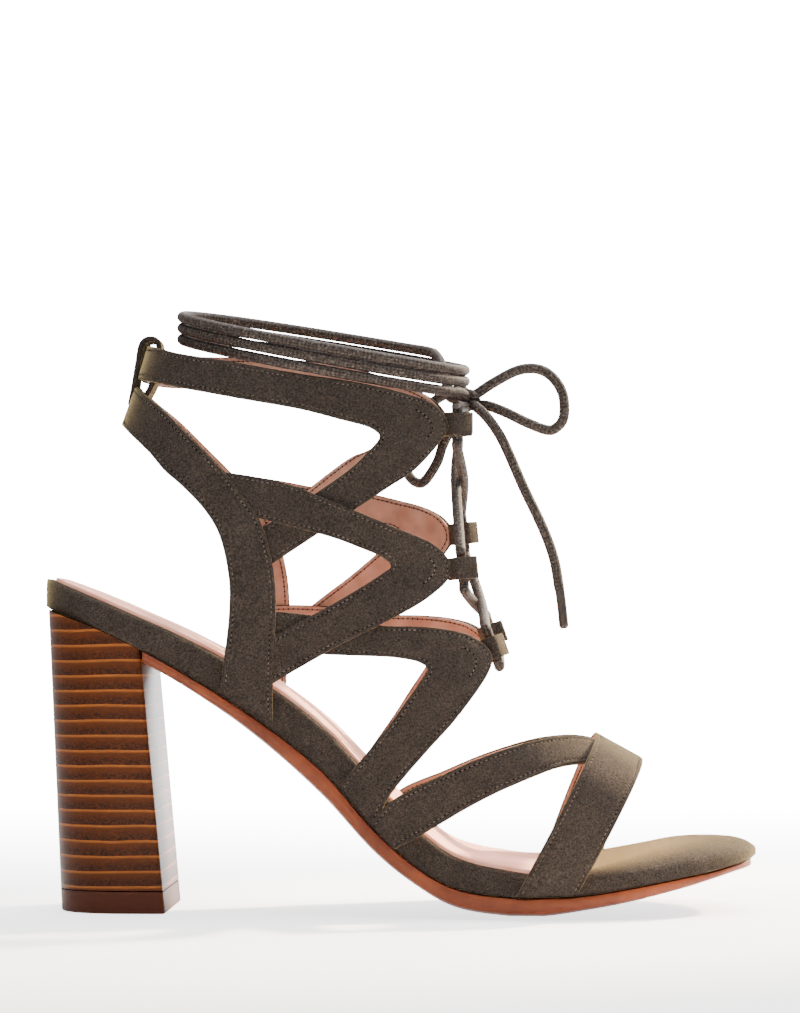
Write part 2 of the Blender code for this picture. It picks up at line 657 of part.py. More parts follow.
def turn_points():
    """Turns of the lace round the collar: from the knot, round the ankle strap and back inside."""
    points = list(TURN_LEAD)
    centre = (TURN_BACK + TURN_FRONT) / 2
    reach = (TURN_FRONT - TURN_BACK) / 2
    for k in range(TURN_FIRST, LACE_TURNS * TURN_POINTS - TURN_LEFT_OFF):
        turn = 2.0 * math.pi * k / TURN_POINTS
        along, across = math.cos(turn), -math.sin(turn)
        x = centre + reach * math.copysign(abs(along) ** (2.0 / ROUNDNESS), along)
        y = TURN_HALF_WIDTH * math.copysign(abs(across) ** (2.0 / ROUNDNESS), across)
        z = (TURN_Z_BACK - TURN_SLOPE * (x - TURN_BACK) + LACE_PITCH * k / TURN_POINTS
             + TURN_MEDIAL_RISE * (1.0 + y / TURN_HALF_WIDTH) / 2)
        points.append((x, y, z))
    return points + list(TURN_TAIL)


def make_knot():
    """Knot of the bow, as one rounded lump."""
    bm = bmesh.new()
    bmesh.ops.create_uvsphere(bm, u_segments=KNOT_SEGMENTS, v_segments=KNOT_RINGS, radius=1.0)
    for vert in bm.verts:
        vert.co = Vector([(c + h * v) * MM for c, h, v in zip(KNOT_CENTRE, KNOT_HALF_SIZE, vert.co)])
    return add_object("lace_knot", finish_mesh("lace_knot", bm), "lace")


def make_lace(places):
    """The lace: crossings through the loops, turns round the collar, and the tied bow."""
    cord("lace_crossings", catmull(crossing_points(places), CROSSING_STEPS))
    cord("lace_turns", turn_points())
    make_knot()
    cord("bow_loop", catmull(BOW_LOOP, CORD_STEPS))
    cord("hanging_loop", catmull(HANGING_LOOP, CORD_STEPS))
    cord("lace_end", catmull(LACE_END, CORD_STEPS))
    cord("lace_tip", LACE_TIP, "lace_tip")


def start_scene():
    """Empty the scene and add the sandal's collection."""
    for obj in list(bpy.data.objects):
        bpy.data.objects.remove(obj)
    parts = bpy.data.collections.new("lace_up_sandal")
    bpy.context.scene.collection.children.link(parts)


def stand_on_origin(pieces):
    """Hang every piece on an empty that puts the floor's middle under the shoe at the origin."""
    corners = [vert.co for piece in pieces for vert in piece.data.vertices]
    middle = [(min(c[k] for c in corners) + max(c[k] for c in corners)) / 2 for k in (0, 1)]
    root = bpy.data.objects.new("sandal_root", None)
    root.location = (-middle[0], -middle[1], 0.0)
    bpy.data.collections["lace_up_sandal"].objects.link(root)
    for obj in bpy.data.collections["lace_up_sandal"].objects:
        if obj is not root:
            obj.parent = root


def main():
    """Build the sandal."""
    start_scene()
    body = [make_outsole(), make_footbed(), make_sock(), make_upper()] + make_heel()
    places = loop_places()
    body += make_lace_loops(places)
    make_lace(places)
    stand_on_origin(body)


main()
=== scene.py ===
"""Lace-up block-heel sandal: the looks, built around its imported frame.

All tables are in millimetres of the shoe: x runs from the back of the heel to the toe, z up
from the floor, and -Y is the lateral side. place() moves a point into the frame.
"""
import math

import bmesh
import bpy
from mathutils import Matrix, Quaternion, Vector, noise


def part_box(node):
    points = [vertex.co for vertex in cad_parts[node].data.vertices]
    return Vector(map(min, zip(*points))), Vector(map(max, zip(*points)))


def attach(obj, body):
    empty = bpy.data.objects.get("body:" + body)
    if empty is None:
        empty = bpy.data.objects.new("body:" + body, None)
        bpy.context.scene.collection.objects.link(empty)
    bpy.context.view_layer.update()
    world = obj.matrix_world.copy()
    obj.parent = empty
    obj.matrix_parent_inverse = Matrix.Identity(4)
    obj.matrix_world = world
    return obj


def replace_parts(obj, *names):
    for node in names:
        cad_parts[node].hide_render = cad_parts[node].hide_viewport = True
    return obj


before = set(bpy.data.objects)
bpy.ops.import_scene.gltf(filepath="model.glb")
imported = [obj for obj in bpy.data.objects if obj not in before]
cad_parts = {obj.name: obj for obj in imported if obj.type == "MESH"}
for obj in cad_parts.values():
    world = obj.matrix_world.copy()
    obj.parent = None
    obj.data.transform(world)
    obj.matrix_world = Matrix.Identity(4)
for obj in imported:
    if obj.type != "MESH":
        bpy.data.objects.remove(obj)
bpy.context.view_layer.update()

bl_info = {
    "name": "Lace-up Sandal",
    "version": (1, 0, 0),
    "blender": (4, 5, 0),
    "location": "View3D > Sidebar > Sandal",
    "description": "Dresses the sandal's solids in suede, lining, stacked heel and braided lace",
    "category": "Object",
}

MM = 0.001
LATERAL = -1.0
MEDIAL = 1.0
HEEL_BACK = 0.3
SHIFT = Vector((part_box("footbed")[0].x / MM - HEEL_BACK,
                sum(corner.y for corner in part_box("heel_block")) / 2 / MM, 0.0))

# straps: thickness, and clearance round the footbed
STRAP_WALL = 2.0
STRAP_CLEAR = 0.7

# outsole: the round of its underside, the corner of its lip, and where it starts and ends
OUTSOLE_EDGE_RISE = 2.3
OUTSOLE_EDGE_SHARE = 0.45
OUTSOLE_FLAT_SHARE = 0.4
OUTSOLE_CORNER = 0.35
OUTSOLE_CORNER_SHARE = 0.2
OUTSOLE_CORNER_STEPS = 2
OUTSOLE_ROUND_STEPS = 9
OUTSOLE_START = 32.3
OUTSOLE_END = 212.4

# sock lining: a sheet on the footbed, set in from its edge
SOCK_INSET = 2.2
SOCK_WALL = 0.9
SOCK_SINK = 0.3
SOCK_ROUND = 0.5
SOCK_ROUND_STEPS = 3
SOCK_COLUMNS = 12
SOCK_END = 157.0

# heel: its sizes under the footbed and at the floor, and its rounded back and corners
HEEL_TOP_PIECE = 6.5
HEEL_BREAST_TOP = 31.2
HEEL_BREAST_FOOT = 38.7
HEEL_BACK_TOP = 2.3
HEEL_BACK_FOOT = 6.0
HEEL_HALF_TOP = 25.6
HEEL_HALF_FOOT = 23.0
HEEL_ROUNDING = 20.0
HEEL_ROUND_STEPS = 16
HEEL_ROUND_PROFILE = 0.56
HEEL_CORNER = 1.2
HEEL_CORNER_STEPS = 3
HEEL_FOOT_EDGE = 0.6
HEEL_START_HEIGHT = 94.0
HEEL_CUTS = (5.0, 16.0, 27.0)
HEEL_CUT_PROBE = 1.0

# foot's form under the straps, and the gap between pieces
ANKLE_HALF_WIDTH = 27.0
ANKLE_BLEND_FROM = 30.0
ANKLE_BLEND_OVER = 80.0
FRONT_ROUNDING = 38.0
BACK_ROUNDING = 30.0
ROUNDNESS = 2.3
TOES_INSIDE = (160.0, 0.0, 5.0)
GAP = 0.35

# closest that two places can be without being one, and edges that stay crisp, in degrees
TOUCH = 0.01
PIECE_SHARP = 45.0
CORD_SHARP = 80.0
SLEEVE_SHARP = 60.0
HEEL_SHARP = 35.0
LOOP_SHARP = 40.0

# sole: top of the footbed, its underside, half widths, tread, and the outsole's lip past the bed
SOLE_COLUMNS = ("x", "top", "under", "lateral", "medial", "tread", "lip")
SOLE = (
    (0.3, 99.4, 91.0, 4.0, 4.0, 87.0, 1.0),
    (1.6, 99.2, 90.4, 9.0, 9.0, 86.5, 1.0),
    (4.5, 98.3, 89.3, 14.9, 14.9, 85.4, 1.0),
    (9.0, 96.6, 87.8, 20.1, 20.1, 83.9, 1.0),
    (16.0, 93.8, 85.2, 24.6, 24.6, 81.2, 1.0),
    (27.0, 89.1, 80.3, 27.0, 27.0, 76.2, 1.0),
    (45.0, 81.0, 70.5, 26.5, 26.0, 66.0, 1.0),
    (65.0, 70.0, 58.0, 26.0, 24.0, 52.0, 1.0),
    (85.0, 55.5, 42.5, 27.5, 24.0, 34.5, 1.0),
    (100.0, 40.0, 26.0, 30.5, 26.0, 18.5, 1.0),
    (112.0, 27.0, 15.5, 33.5, 29.0, 9.0, 1.0),
    (124.0, 18.0, 9.0, 36.5, 32.5, 2.5, 1.0),
    (140.0, 14.0, 6.5, 39.0, 37.0, 0.0, 1.0),
    (150.0, 13.0, 6.5, 39.5, 39.5, 0.0, 1.0),
    (161.0, 14.0, 7.0, 39.0, 41.0, 1.5, 1.0),
    (175.0, 17.0, 9.0, 36.5, 40.5, 4.0, 0.8),
    (190.0, 20.5, 11.5, 30.5, 37.0, 7.5, 0.3),
    (199.5, 21.5, 13.0, 24.0, 31.5, 10.0, -0.3),
    (207.0, 21.5, 14.5, 16.5, 24.5, 12.0, -0.9),
    (211.5, 20.5, 15.5, 9.5, 18.0, 13.0, -1.3),
    (214.0, 19.0, 16.5, 2.5, 11.5, 14.5, -1.5),
)

# front and back lines of the foot that the straps are shaped on: x at a height z
FRONT_LINE = ((206.0, 24.0), (178.5, 43.4), (167.0, 50.4), (155.0, 61.5), (143.0, 78.0),
              (133.0, 101.0), (128.5, 144.0), (128.0, 180.0))
BACK_LINE = ((4.0, 100.0), (18.0, 125.0), (24.6, 145.3), (28.8, 157.0), (32.6, 170.0))

# strap rows: x and z of both edges, lift over the straps below (none if under 0), medial twin's rise
STRAP_COLUMNS = ("outer_x", "outer_z", "inner_x", "inner_z", "lift", "rise")
LOW_CHEVRON = (
    (62.0, 89.5, 62.0, 78.5, 0.0, 2.0),
    (75.0, 88.8, 74.5, 77.4, 0.0, 3.0),
    (90.0, 86.8, 87.0, 76.4, 0.0, 4.0),
    (103.0, 84.8, 97.0, 76.0, 0.0, 4.0),
    (112.5, 84.4, 105.5, 75.6, 0.0, 4.0),
    (121.5, 83.4, 112.0, 74.6, 0.0, 4.0),
    (129.0, 81.0, 115.3, 73.2, 0.0, 4.0),
    (134.0, 76.0, 116.3, 71.4, 0.0, 4.0),
    (133.0, 69.5, 115.0, 69.3, 0.0, 4.0),
    (125.0, 58.0, 110.5, 63.0, 0.0, 3.5),
    (117.0, 49.0, 105.0, 55.4, 0.0, 2.5),
    (110.0, 41.0, 99.5, 48.6, 0.0, 1.5),
    (105.0, 34.5, 95.2, 43.4, 0.0, 0.5),
    (101.6, 26.6, 91.0, 38.2, 0.0, 0.0),
)
MIDDLE_CHEVRON = (
    (52.5, 130.6, 57.5, 119.0, 0.8, 2.0),
    (64.0, 129.0, 68.5, 116.0, 0.8, 2.5),
    (75.0, 126.6, 80.0, 113.0, 1.4, 3.0),
    (85.5, 122.5, 88.5, 110.7, 1.5, 5.0),
    (95.5, 118.4, 96.5, 107.6, 1.5, 8.5),
    (106.0, 113.8, 102.0, 105.3, 0.8, 10.6),
    (114.0, 110.5, 104.4, 103.8, 0.2, 11.4),
    (119.8, 106.6, 105.2, 102.8, 0.0, 11.7),
    (122.4, 101.6, 105.2, 101.9, 0.0, 11.7),
    (120.4, 96.8, 103.8, 100.7, 0.0, 11.4),
    (113.8, 91.2, 98.2, 96.9, 0.8, 10.2),
    (103.4, 85.4, 90.4, 92.2, 1.5, 8.4),
    (90.5, 79.0, 81.5, 87.4, 1.5, 6.5),
    (77.5, 71.8, 72.6, 82.6, 1.2, 4.0),
    (66.5, 65.4, 62.5, 76.6, 0.7, 2.0),
)
TOP_CHEVRON = (
    (32.4, 169.5, 29.5, 159.4, 0.0, 0.0),
    (33.5, 168.9, 30.6, 158.9, 0.0, 0.3),
    (37.4, 167.4, 34.5, 157.5, 0.0, 1.4),
    (44.5, 165.2, 43.4, 155.2, 0.0, 4.0),
    (60.5, 162.4, 60.0, 152.0, 0.0, 7.0),
    (79.0, 159.1, 78.0, 148.8, 0.0, 9.0),
    (96.0, 156.5, 90.5, 145.6, 0.0, 8.4),
    (110.0, 153.2, 98.0, 143.6, 0.0, 6.2),
    (117.5, 150.3, 101.0, 142.0, 0.0, 4.2),
    (121.0, 145.0, 101.9, 140.6, 0.0, 3.0),
    (119.5, 140.2, 100.8, 138.6, 0.0, 3.8),
    (112.3, 131.2, 95.6, 132.9, 0.0, 7.0),
    (104.0, 125.2, 90.0, 128.4, 0.0, 9.0),
    (88.0, 114.6, 78.0, 120.4, 0.0, 8.0),
    (71.0, 103.4, 67.0, 113.4, 0.0, 6.0),
    (63.0, 98.6, 59.0, 108.4, 0.0, 4.0),
)
SLING = (
    (70.8, 57.0, 55.4, 65.2, 0.0, 0.0),
    (70.9, 66.5, 56.0, 71.0, 1.2, 0.0),
    (71.1, 76.2, 56.8, 77.6, 1.5, 0.0),
    (71.8, 91.0, 57.9, 88.2, 1.5, 0.0),
    (70.7, 103.0, 57.9, 98.4, 1.5, 0.0),
    (67.2, 115.2, 55.5, 110.2, 1.5, 0.0),
    (62.0, 123.0, 51.3, 118.1, 1.5, 0.0),
    (55.5, 131.0, 44.5, 125.6, 1.4, 0.0),
    (45.5, 141.4, 39.0, 130.6, 0.6, 0.0),
    (38.4, 148.6, 34.4, 136.0, 0.0, 0.0),
    (32.5, 153.6, 28.6, 141.6, 0.0, 0.0),
    (29.8, 156.2, 25.6, 144.6, 0.0, 0.0),
    (28.8, 157.0, 24.6, 145.3, 0.0, 0.0),
)
VAMP_STRAP = (
    (100.2, 27.6, 107.2, 20.0, 0.9, 0.0),
    (107.6, 34.6, 114.6, 24.0, 0.8, 0.0),
    (120.0, 41.0, 125.0, 30.3, 0.0, -1.2),
    (132.0, 46.3, 135.0, 35.7, 0.0, -1.6),
    (144.0, 50.0, 145.0, 40.0, 0.0, -1.6),
    (153.5, 51.6, 153.5, 43.0, 0.0, -1.4),
    (160.5, 51.2, 160.0, 44.0, -1.1, -0.8),
    (167.0, 49.0, 166.0, 43.6, -2.6, 0.0),
    (171.5, 46.4, 170.5, 41.6, -3.4, 0.0),
)

# toe band: x and z of its two edges at the lateral base, the ridge and the medial base
TOE_BAND_REAR = ((142.0, 7.0), (165.0, 50.2), (149.0, 7.1))
TOE_BAND_FRONT = ((159.8, 7.9), (178.8, 42.6), (168.5, 8.9))
TOE_BAND_LIFT = 1.2
TOE_BAND_LIFT_RATE = 2.0
TOE_BAND_ROUNDNESS = 3.1
TOE_BAND_STEPS = 120
TOE_BAND_PROBE = 0.03

# pull loop at the back: its path as x and z, and its section in half widths and half walls
HEEL_LOOP_HALF_WIDTH = 5.5
HEEL_LOOP_WALL = 1.6
HEEL_LOOP_PATH = ((25.6, 152.0), (26.7, 157.5), (27.9, 165.0), (28.9, 170.2), (31.0, 172.0),
                  (33.9, 171.0), (34.1, 165.0), (32.3, 158.5), (28.9, 152.4))
HEEL_LOOP_STEPS = 6
HEEL_LOOP_SECTION = ((-1.0, -0.4), (-0.93, -1.0), (0.0, -1.0), (0.93, -1.0), (1.0, -0.4),
                     (1.0, 0.4), (0.93, 1.0), (0.0, 1.0), (-0.93, 1.0), (-1.0, 0.4))

# lace loops at the chevron tips: x and z, the medial twin's rise, lean, clearance, turn in degrees
LOOP_COLUMNS = ("level", "x", "z", "rise", "lean", "clear", "turn")
LOOP_TIPS = (
    ("low", 132.6, 77.4, 4.2, 0.36, 0.9, 30.0),
    ("middle", 122.4, 101.6, 11.7, 0.1, 0.1, 0.0),
    ("top", 121.0, 144.8, 3.0, 0.0, 0.1, 0.0),
)
LOOP_LENGTH = 8.0
LOOP_DEPTH = 6.4
LOOP_WALL = 1.1
LOOP_FOLD = 1.3
LOOP_FOLD_STEPS = 4
LOOP_EDGE = 0.2
LOOP_EDGE_STEPS = 2
LOOP_HEIGHT = 6.5
LOOP_AIM = 2.0

# lace through the loops: points along each loop's axis, and how the crossings lie
LOOP_STOPS = (6.6, 4.6, -4.6, -6.6)
TOP_STOPS = (5.6, 4.6, -4.6, -6.6)
LOW_STOPS = (6.6, 4.6, -4.6, -5.6)
CROSSING_SPREAD = 1.2
CROSSING_BULGE = -0.2
BAR_DROP = 6.0
LATERAL_LACE_TOP = (126.8, -5.5, 151.1)
MEDIAL_LACE_TOP = (125.0, 3.2, 151.8)

# lace: turns round the collar, and points along the bow's cords, as x, y, z
LACE_DIAMETER = 3.1
LACE_TURNS = 3
LACE_PITCH = 3.4
TURN_BACK = 41.0
TURN_FRONT = 127.0
TURN_HALF_WIDTH = 28.2
TURN_Z_BACK = 167.15
TURN_SLOPE = 0.175
TURN_MEDIAL_RISE = 7.5
TURN_POINTS = 24
TURN_FIRST = 2
TURN_LEFT_OFF = 2
TURN_LEAD = ((126.6, -5.9, 154.8), (124.9, -10.4, 155.3))
TURN_TAIL = ((118.2, 15.4, 168.4), (120.2, 10.0, 164.2), (121.4, 5.4, 159.2), (122.2, 1.8, 156.0),
             (122.9, -0.4, 154.2))
KNOT_CENTRE = (127.6, -1.2, 153.4)
KNOT_HALF_SIZE = (3.0, 4.2, 2.6)
BOW_LOOP = ((130.8, -2.2, 155.4), (136.4, -3.8, 158.9), (143.3, -5.0, 162.2), (149.2, -5.6, 162.4),
            (153.6, -5.9, 159.8), (156.6, -6.2, 154.6), (156.8, -6.6, 147.8), (154.4, -6.8, 144.5),
            (151.4, -6.8, 144.0), (145.3, -6.4, 146.4), (139.6, -5.2, 149.3), (134.3, -3.4, 151.5),
            (131.0, -1.6, 152.0))
HANGING_LOOP = ((129.6, 3.0, 152.6), (130.2, 9.0, 154.4), (128.8, 17.4, 154.2), (123.9, 25.4, 149.0),
                (120.0, 28.2, 142.0), (117.8, 29.0, 136.0), (113.2, 29.6, 130.0), (108.9, 30.2, 132.8),
                (108.4, 30.8, 140.0), (111.4, 30.4, 148.4), (116.6, 27.2, 155.0), (122.2, 18.6, 157.4),
                (126.4, 9.0, 157.0), (127.0, 3.4, 155.8))
LACE_END = ((130.0, -4.7, 151.5), (133.2, -7.2, 148.4), (136.3, -8.6, 144.2), (139.2, -9.2, 139.0),
            (144.6, -9.7, 126.6), (150.3, -10.1, 114.5), (153.6, -10.4, 105.4), (155.2, -10.4, 96.6))
LACE_TIP = ((155.35, -10.4, 96.0), (156.0, -10.4, 91.0), (156.6, -10.4, 85.0))

# suede on top of a lining: thicknesses, the rounded edge, the sewn groove and the threads
SUEDE = 1.3
LINING = 0.7
LINING_INSET = 0.3
EDGE_ROUND = 0.45
EDGE_CUT = 0.3 * EDGE_ROUND
SEAM_INSET = 1.35
SEAM_HALF = 0.45
SEAM_DEPTH = 0.2
STRAP_STEPS = 12
SUEDE_COLUMNS = 7
SUEDE_BACK_COLUMNS = 4
LINING_COLUMNS = 8
SLACK_HEIGHT = 0.12
SLACK_SIZE = 11.0

# soft creases pressed into the straps: x, z, turn in degrees, half length, half width, depth
CREASE_FLOOR = 0.5
CREASES = (
    (104.6, 140.2, 18.0, 7.0, 1.5, 0.28),
    (105.4, 137.0, -22.0, 6.0, 1.3, 0.22),
    (107.6, 102.6, 14.0, 6.5, 1.5, 0.3),
    (108.2, 99.4, -18.0, 5.5, 1.2, 0.22),
    (118.6, 71.0, 8.0, 6.5, 1.5, 0.3),
    (118.2, 67.6, -30.0, 6.0, 1.4, 0.24),
    (62.0, 112.0, 35.0, 6.5, 1.8, 0.26),
    (64.2, 97.0, 12.0, 6.0, 1.6, 0.2),
    (48.0, 136.0, 60.0, 6.0, 1.6, 0.24),
    (128.0, 38.4, 64.0, 4.5, 1.6, 0.2),
    (150.6, 46.8, 80.0, 4.0, 1.4, 0.2),
)

# second row of stitches that holds a lace loop: distance from the edge, and reach from the tip
TIP_SEAM_INSET = 5.2
TIP_SEAM_REACH = 9.0

# one stitch: place along it, thickness and height, and the needle's hole after it, as a small dark disc of
# painted shade
THREAD_ROWS = ((-0.5, 0.35, -0.5), (-0.3, 0.9, 0.2), (0.0, 1.0, 0.45), (0.3, 0.9, 0.2), (0.5, 0.35, -0.5))
THREAD_TURNS = [math.pi * k / 3 for k in range(6)]
SEAM_START = 0.6
NEEDLE_HOLE_SHADE_RADIUS = 0.3
NEEDLE_HOLE_SHADE_ENDS = (-0.05, 0.04)
NO_SPAN = 1e-6

# braid of the lace, its knot, and the sleeve on its end
BRAID_SIDES = 30
BRAID_STEP = 0.33
BRAID_LOBES = 10
BRAID_REPEAT = 1.15
BRAID_RELIEF = 0.07
CORD_STEPS = 8
KNOT_SINK = 3.0
KNOT_WRAPS = 1.75
KNOT_SWELL = (0.9, 0.0, 0.8)
KNOT_POINTS = 64
SLEEVE_SHARE = 0.92
SLEEVE_ROUND = ((0.85, 0.35), (0.5, 0.6))

# lap where the suede round the footbed's edge overlaps, on the lateral side: x at its foot and top
LAP_FOOT = 131.4
LAP_TOP = 139.6
LAP_END = 150.0
LAP_WALL = 0.45
LAP_SKIVE = 0.55
LAP_SKIVE_RATE = 3.0
LAP_FOOT_RISE = 0.4
LAP_TOP_SHARE = 0.9
LAP_STEPS = 12
LAP_ROWS = 8

# rows that round off the back and the toe of the sole, in the columns of SOLE
SOLE_BACK = ((0.02, 99.3, 91.3, 0.6, 0.6, 87.2, 1.0), (0.1, 99.4, 91.1, 2.0, 2.0, 87.1, 1.0))
SOLE_TOE = ((214.4, 18.6, 16.9, -0.4, 9.2, 15.0, -1.5), (214.6, 18.1, 17.3, -3.2, 6.0, 15.2, -1.5))
SOLE_STEP = 2.0
SOLE_CLOSEST = 0.3

# footbed's edges, and the roll of its toe end
BED_ROUND = 2.6
BED_ROUND_STEPS = 8
BED_FOOT_ROUND = 0.8
BED_FOOT_STEPS = 3
BED_FOOT_SHARE = 0.2
BED_REACH_SHARE = 0.45
BED_DROP_SHARE = 0.7
BED_COLUMNS = 10
TOE_ROLL_FROM = 158.0
TOE_ROLL_OVER = 26.0
TOE_ROLL_WIDTH = 20.0
TOE_ROLL_DROP = 6.2

# stage: the paper's size, wall and sweep, and the camera's reach, in metres
FLOOR_SIZE = 6.0
FLOOR_WALL = 3.0
FLOOR_SWEEP = 2.0
FLOOR_SWEEP_STEPS = 24
CAMERA_REACH = 20.0

# camera: place in the shoe's millimetres, lens and sensor in millimetres, turn in degrees
CAMERA_PLACE = (134.85, -900.0, 79.1)
CAMERA_LENS = 105.55
CAMERA_SENSOR = 36.0
CAMERA_PITCH = 92.68
CAMERA_YAW = 1.755


def blend(a, b, t):
    """Mix two numbers."""
    return a + (b - a) * t


def limit(value):
    """Keep a value between 0 and 1."""
    return max(0.0, min(1.0, value))


def place(point):
    """A point of the shoe in millimetres, as a point of the frame in metres."""
    return (Vector(point) + SHIFT) * MM


def linear(colour):
    """An sRGB hex colour as linear red, green, blue and alpha."""
    channels = [int(colour[k:k + 2], 16) / 255.0 for k in (1, 3, 5)]
    return [c / 12.92 if c <= 0.04045 else ((c + 0.055) / 1.055) ** 2.4 for c in channels] + [1.0]


def read(table, column, x):
    """Read one column of a table at x, on a smooth curve through its rows."""
    last = len(table) - 2
    row = 0
    while row < last and x > table[row + 1][0]:
        row += 1
    x0, x1 = table[row][0], table[row + 1][0]
    t = limit((x - x0) / (x1 - x0))
    before, after = max(row - 1, 0), min(row + 2, last + 1)
    slope0 = (table[row + 1][column] - table[before][column]) / (x1 - table[before][0])
    slope1 = (table[after][column] - table[row][column]) / (table[after][0] - x0)
    width = x1 - x0
    return ((2 * t**3 - 3 * t**2 + 1) * table[row][column] + (t**3 - 2 * t**2 + t) * width * slope0
            + (3 * t**2 - 2 * t**3) * table[row + 1][column] + (t**3 - t**2) * width * slope1)


def sole(name, x):
    """One measure of the sole at x."""
    return read(SOLE, SOLE_COLUMNS.index(name), x)


def half_width(x, side):
    """Half width of the footbed at x on one side."""
    return sole("lateral" if side < 0 else "medial", x)


def line_distance(line, x, z):
    """Shortest distance from a side-view point to a line of points."""
    best = None
    for (ax, az), (bx, bz) in zip(line, line[1:]):
        run = (bx - ax) ** 2 + (bz - az) ** 2
        t = limit(((x - ax) * (bx - ax) + (z - az) * (bz - az)) / run)
        reach = math.hypot(x - blend(ax, bx, t), z - blend(az, bz, t))
        best = reach if best is None else min(best, reach)
    return best


def back_line(z):
    """Back of the foot at a height z."""
    for (ax, az), (bx, bz) in zip(BACK_LINE, BACK_LINE[1:]):
        if z <= bz:
            break
    return blend(ax, bx, (z - az) / (bz - az))


def rounding(distance, depth):
    """Share of the full half width that is left near the front or back line."""
    near = 1.0 - limit(distance / depth)
    return (1.0 - near ** ROUNDNESS) ** (1.0 / ROUNDNESS)


def form_half_width(x, z, side):
    """Half width of the foot at a side-view point, nothing behind the back line."""
    share = limit((z - ANKLE_BLEND_FROM) / ANKLE_BLEND_OVER)
    width = blend(half_width(x, side) + STRAP_CLEAR, ANKLE_HALF_WIDTH, share)
    front = rounding(line_distance(FRONT_LINE, x, z), FRONT_ROUNDING)
    back = rounding(x - back_line(z), BACK_ROUNDING)
    return width * front * back


def catmull(rows, steps, ease=0):
    """Rows on a smooth curve through the given rows; ease crowds the steps at one end."""
    fine = []
    last = len(rows) - 2
    for i in range(len(rows) - 1):
        a, b, c, d = (rows[max(i - 1, 0)], rows[i], rows[i + 1], rows[min(i + 2, len(rows) - 1)])
        for k in range(steps):
            t = k / steps
            if ease < 0 and i == 0:
                t = t ** 2
            if ease > 0 and i == last:
                t = 1.0 - (1.0 - t) ** 2
            fine.append(tuple(
                0.5 * (2 * q + (r - p) * t + (2 * p - 5 * q + 4 * r - s) * t**2
                       + (3 * q - p - 3 * r + s) * t**3)
                for p, q, r, s in zip(a, b, c, d)))
    fine.append(tuple(rows[-1]))
    return fine


class Shape:
    """Points and faces of one mesh, gathered in the shoe's millimetres."""

    def __init__(self):
        self.points = []
        self.faces = []

    def loft(self, rings):
        """Skin a list of closed rings, with a face at each end."""
        start = len(self.points)
        count = len(rings[0])
        for ring in rings:
            self.points.extend(ring)
        for i in range(len(rings) - 1):
            low = start + i * count
            for k in range(count):
                after = (k + 1) % count
                self.faces.append((low + k, low + after, low + count + after, low + count + k))
        end = start + (len(rings) - 1) * count
        self.faces.append(tuple(range(start + count - 1, start - 1, -1)))
        self.faces.append(tuple(range(end, end + count)))

    def piece(self, name, material, slot, sharp=PIECE_SHARP):
        """Make the mesh, with its faces turned outwards, and let it ride on the sandal."""
        mesh = bpy.data.meshes.new(name)
        mesh.from_pydata([place(p) for p in self.points], [], self.faces)
        bm = bmesh.new()
        bm.from_mesh(mesh)
        bmesh.ops.recalc_face_normals(bm, faces=bm.faces)
        bm.to_mesh(mesh)
        bm.free()
        mesh.shade_smooth()
        mesh.set_sharp_from_angle(angle=math.radians(sharp))
        obj = bpy.data.objects.new(name, mesh)
        bpy.context.scene.collection.objects.link(obj)
        return dress(obj, material)


def dress(obj, material):
    """Give a finished piece its material, and let it ride on the sandal."""
    obj.data.materials.clear()
    obj.data.materials.append(bpy.data.materials[material])
    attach(obj, "root")
    return obj


def foot_point(x, z, side):
    """Point of the foot's surface at a side-view place."""
    return Vector((x, side * form_half_width(x, z, side), z))


def foot_normal(x, z, side):
    """Outward direction of the foot's surface at a side-view place."""
    step = 0.4
    slope_x = (form_half_width(x + step, z, side) - form_half_width(x - step, z, side)) / (2 * step)
    slope_z = (form_half_width(x, z + step, side) - form_half_width(x, z - step, side)) / (2 * step)
    return Vector((-slope_x, side, -slope_z)).normalized()


def side_strap(table, side, ease=0):
    """Rows of a strap on one side: each takes a share across to a point and its normal."""
    rows = []
    for values in catmull(table, STRAP_STEPS, ease):
        row = dict(zip(STRAP_COLUMNS, values))
        rise = row["rise"] if side > 0 else 0.0
        outer = (row["outer_x"], row["outer_z"] + rise)
        inner = (row["inner_x"], row["inner_z"] + rise)

        def at(t, outer=outer, inner=inner):
            x, z = blend(outer[0], inner[0], t), blend(outer[1], inner[1], t)
            return foot_point(x, z, side), foot_normal(x, z, side)

        rows.append((at, max(row["lift"], 0.0)))
    return rows


def ring_strap(table, back_first):
    """Rows of a strap that goes round the back, from one side to the other."""
    ease = -1 if back_first else 1
    lateral = side_strap(table, LATERAL, ease)
    medial = side_strap(table, MEDIAL, ease)
    if back_first:
        return lateral[::-1] + medial[1:]
    return lateral + medial[::-1][1:]


def toe_band_point(turn, t):
    """Point of the toe band: turn goes over the foot, t from its rear to its front edge."""
    side = LATERAL if turn < math.pi / 2 else MEDIAL
    height = max(math.sin(turn), 0.0) ** (2.0 / TOE_BAND_ROUNDNESS)
    edges = []
    for lateral, ridge, medial in (TOE_BAND_REAR, TOE_BAND_FRONT):
        base = lateral if side < 0 else medial
        edges.append((blend(base[0], ridge[0], height), blend(base[1], ridge[1], height)))
    x, z = (blend(edges[0][k], edges[1][k], t) for k in (0, 1))
    share = abs(math.cos(turn)) ** (2.0 / TOE_BAND_ROUNDNESS)
    return Vector((x, side * (half_width(x, side) + STRAP_CLEAR) * share, z))


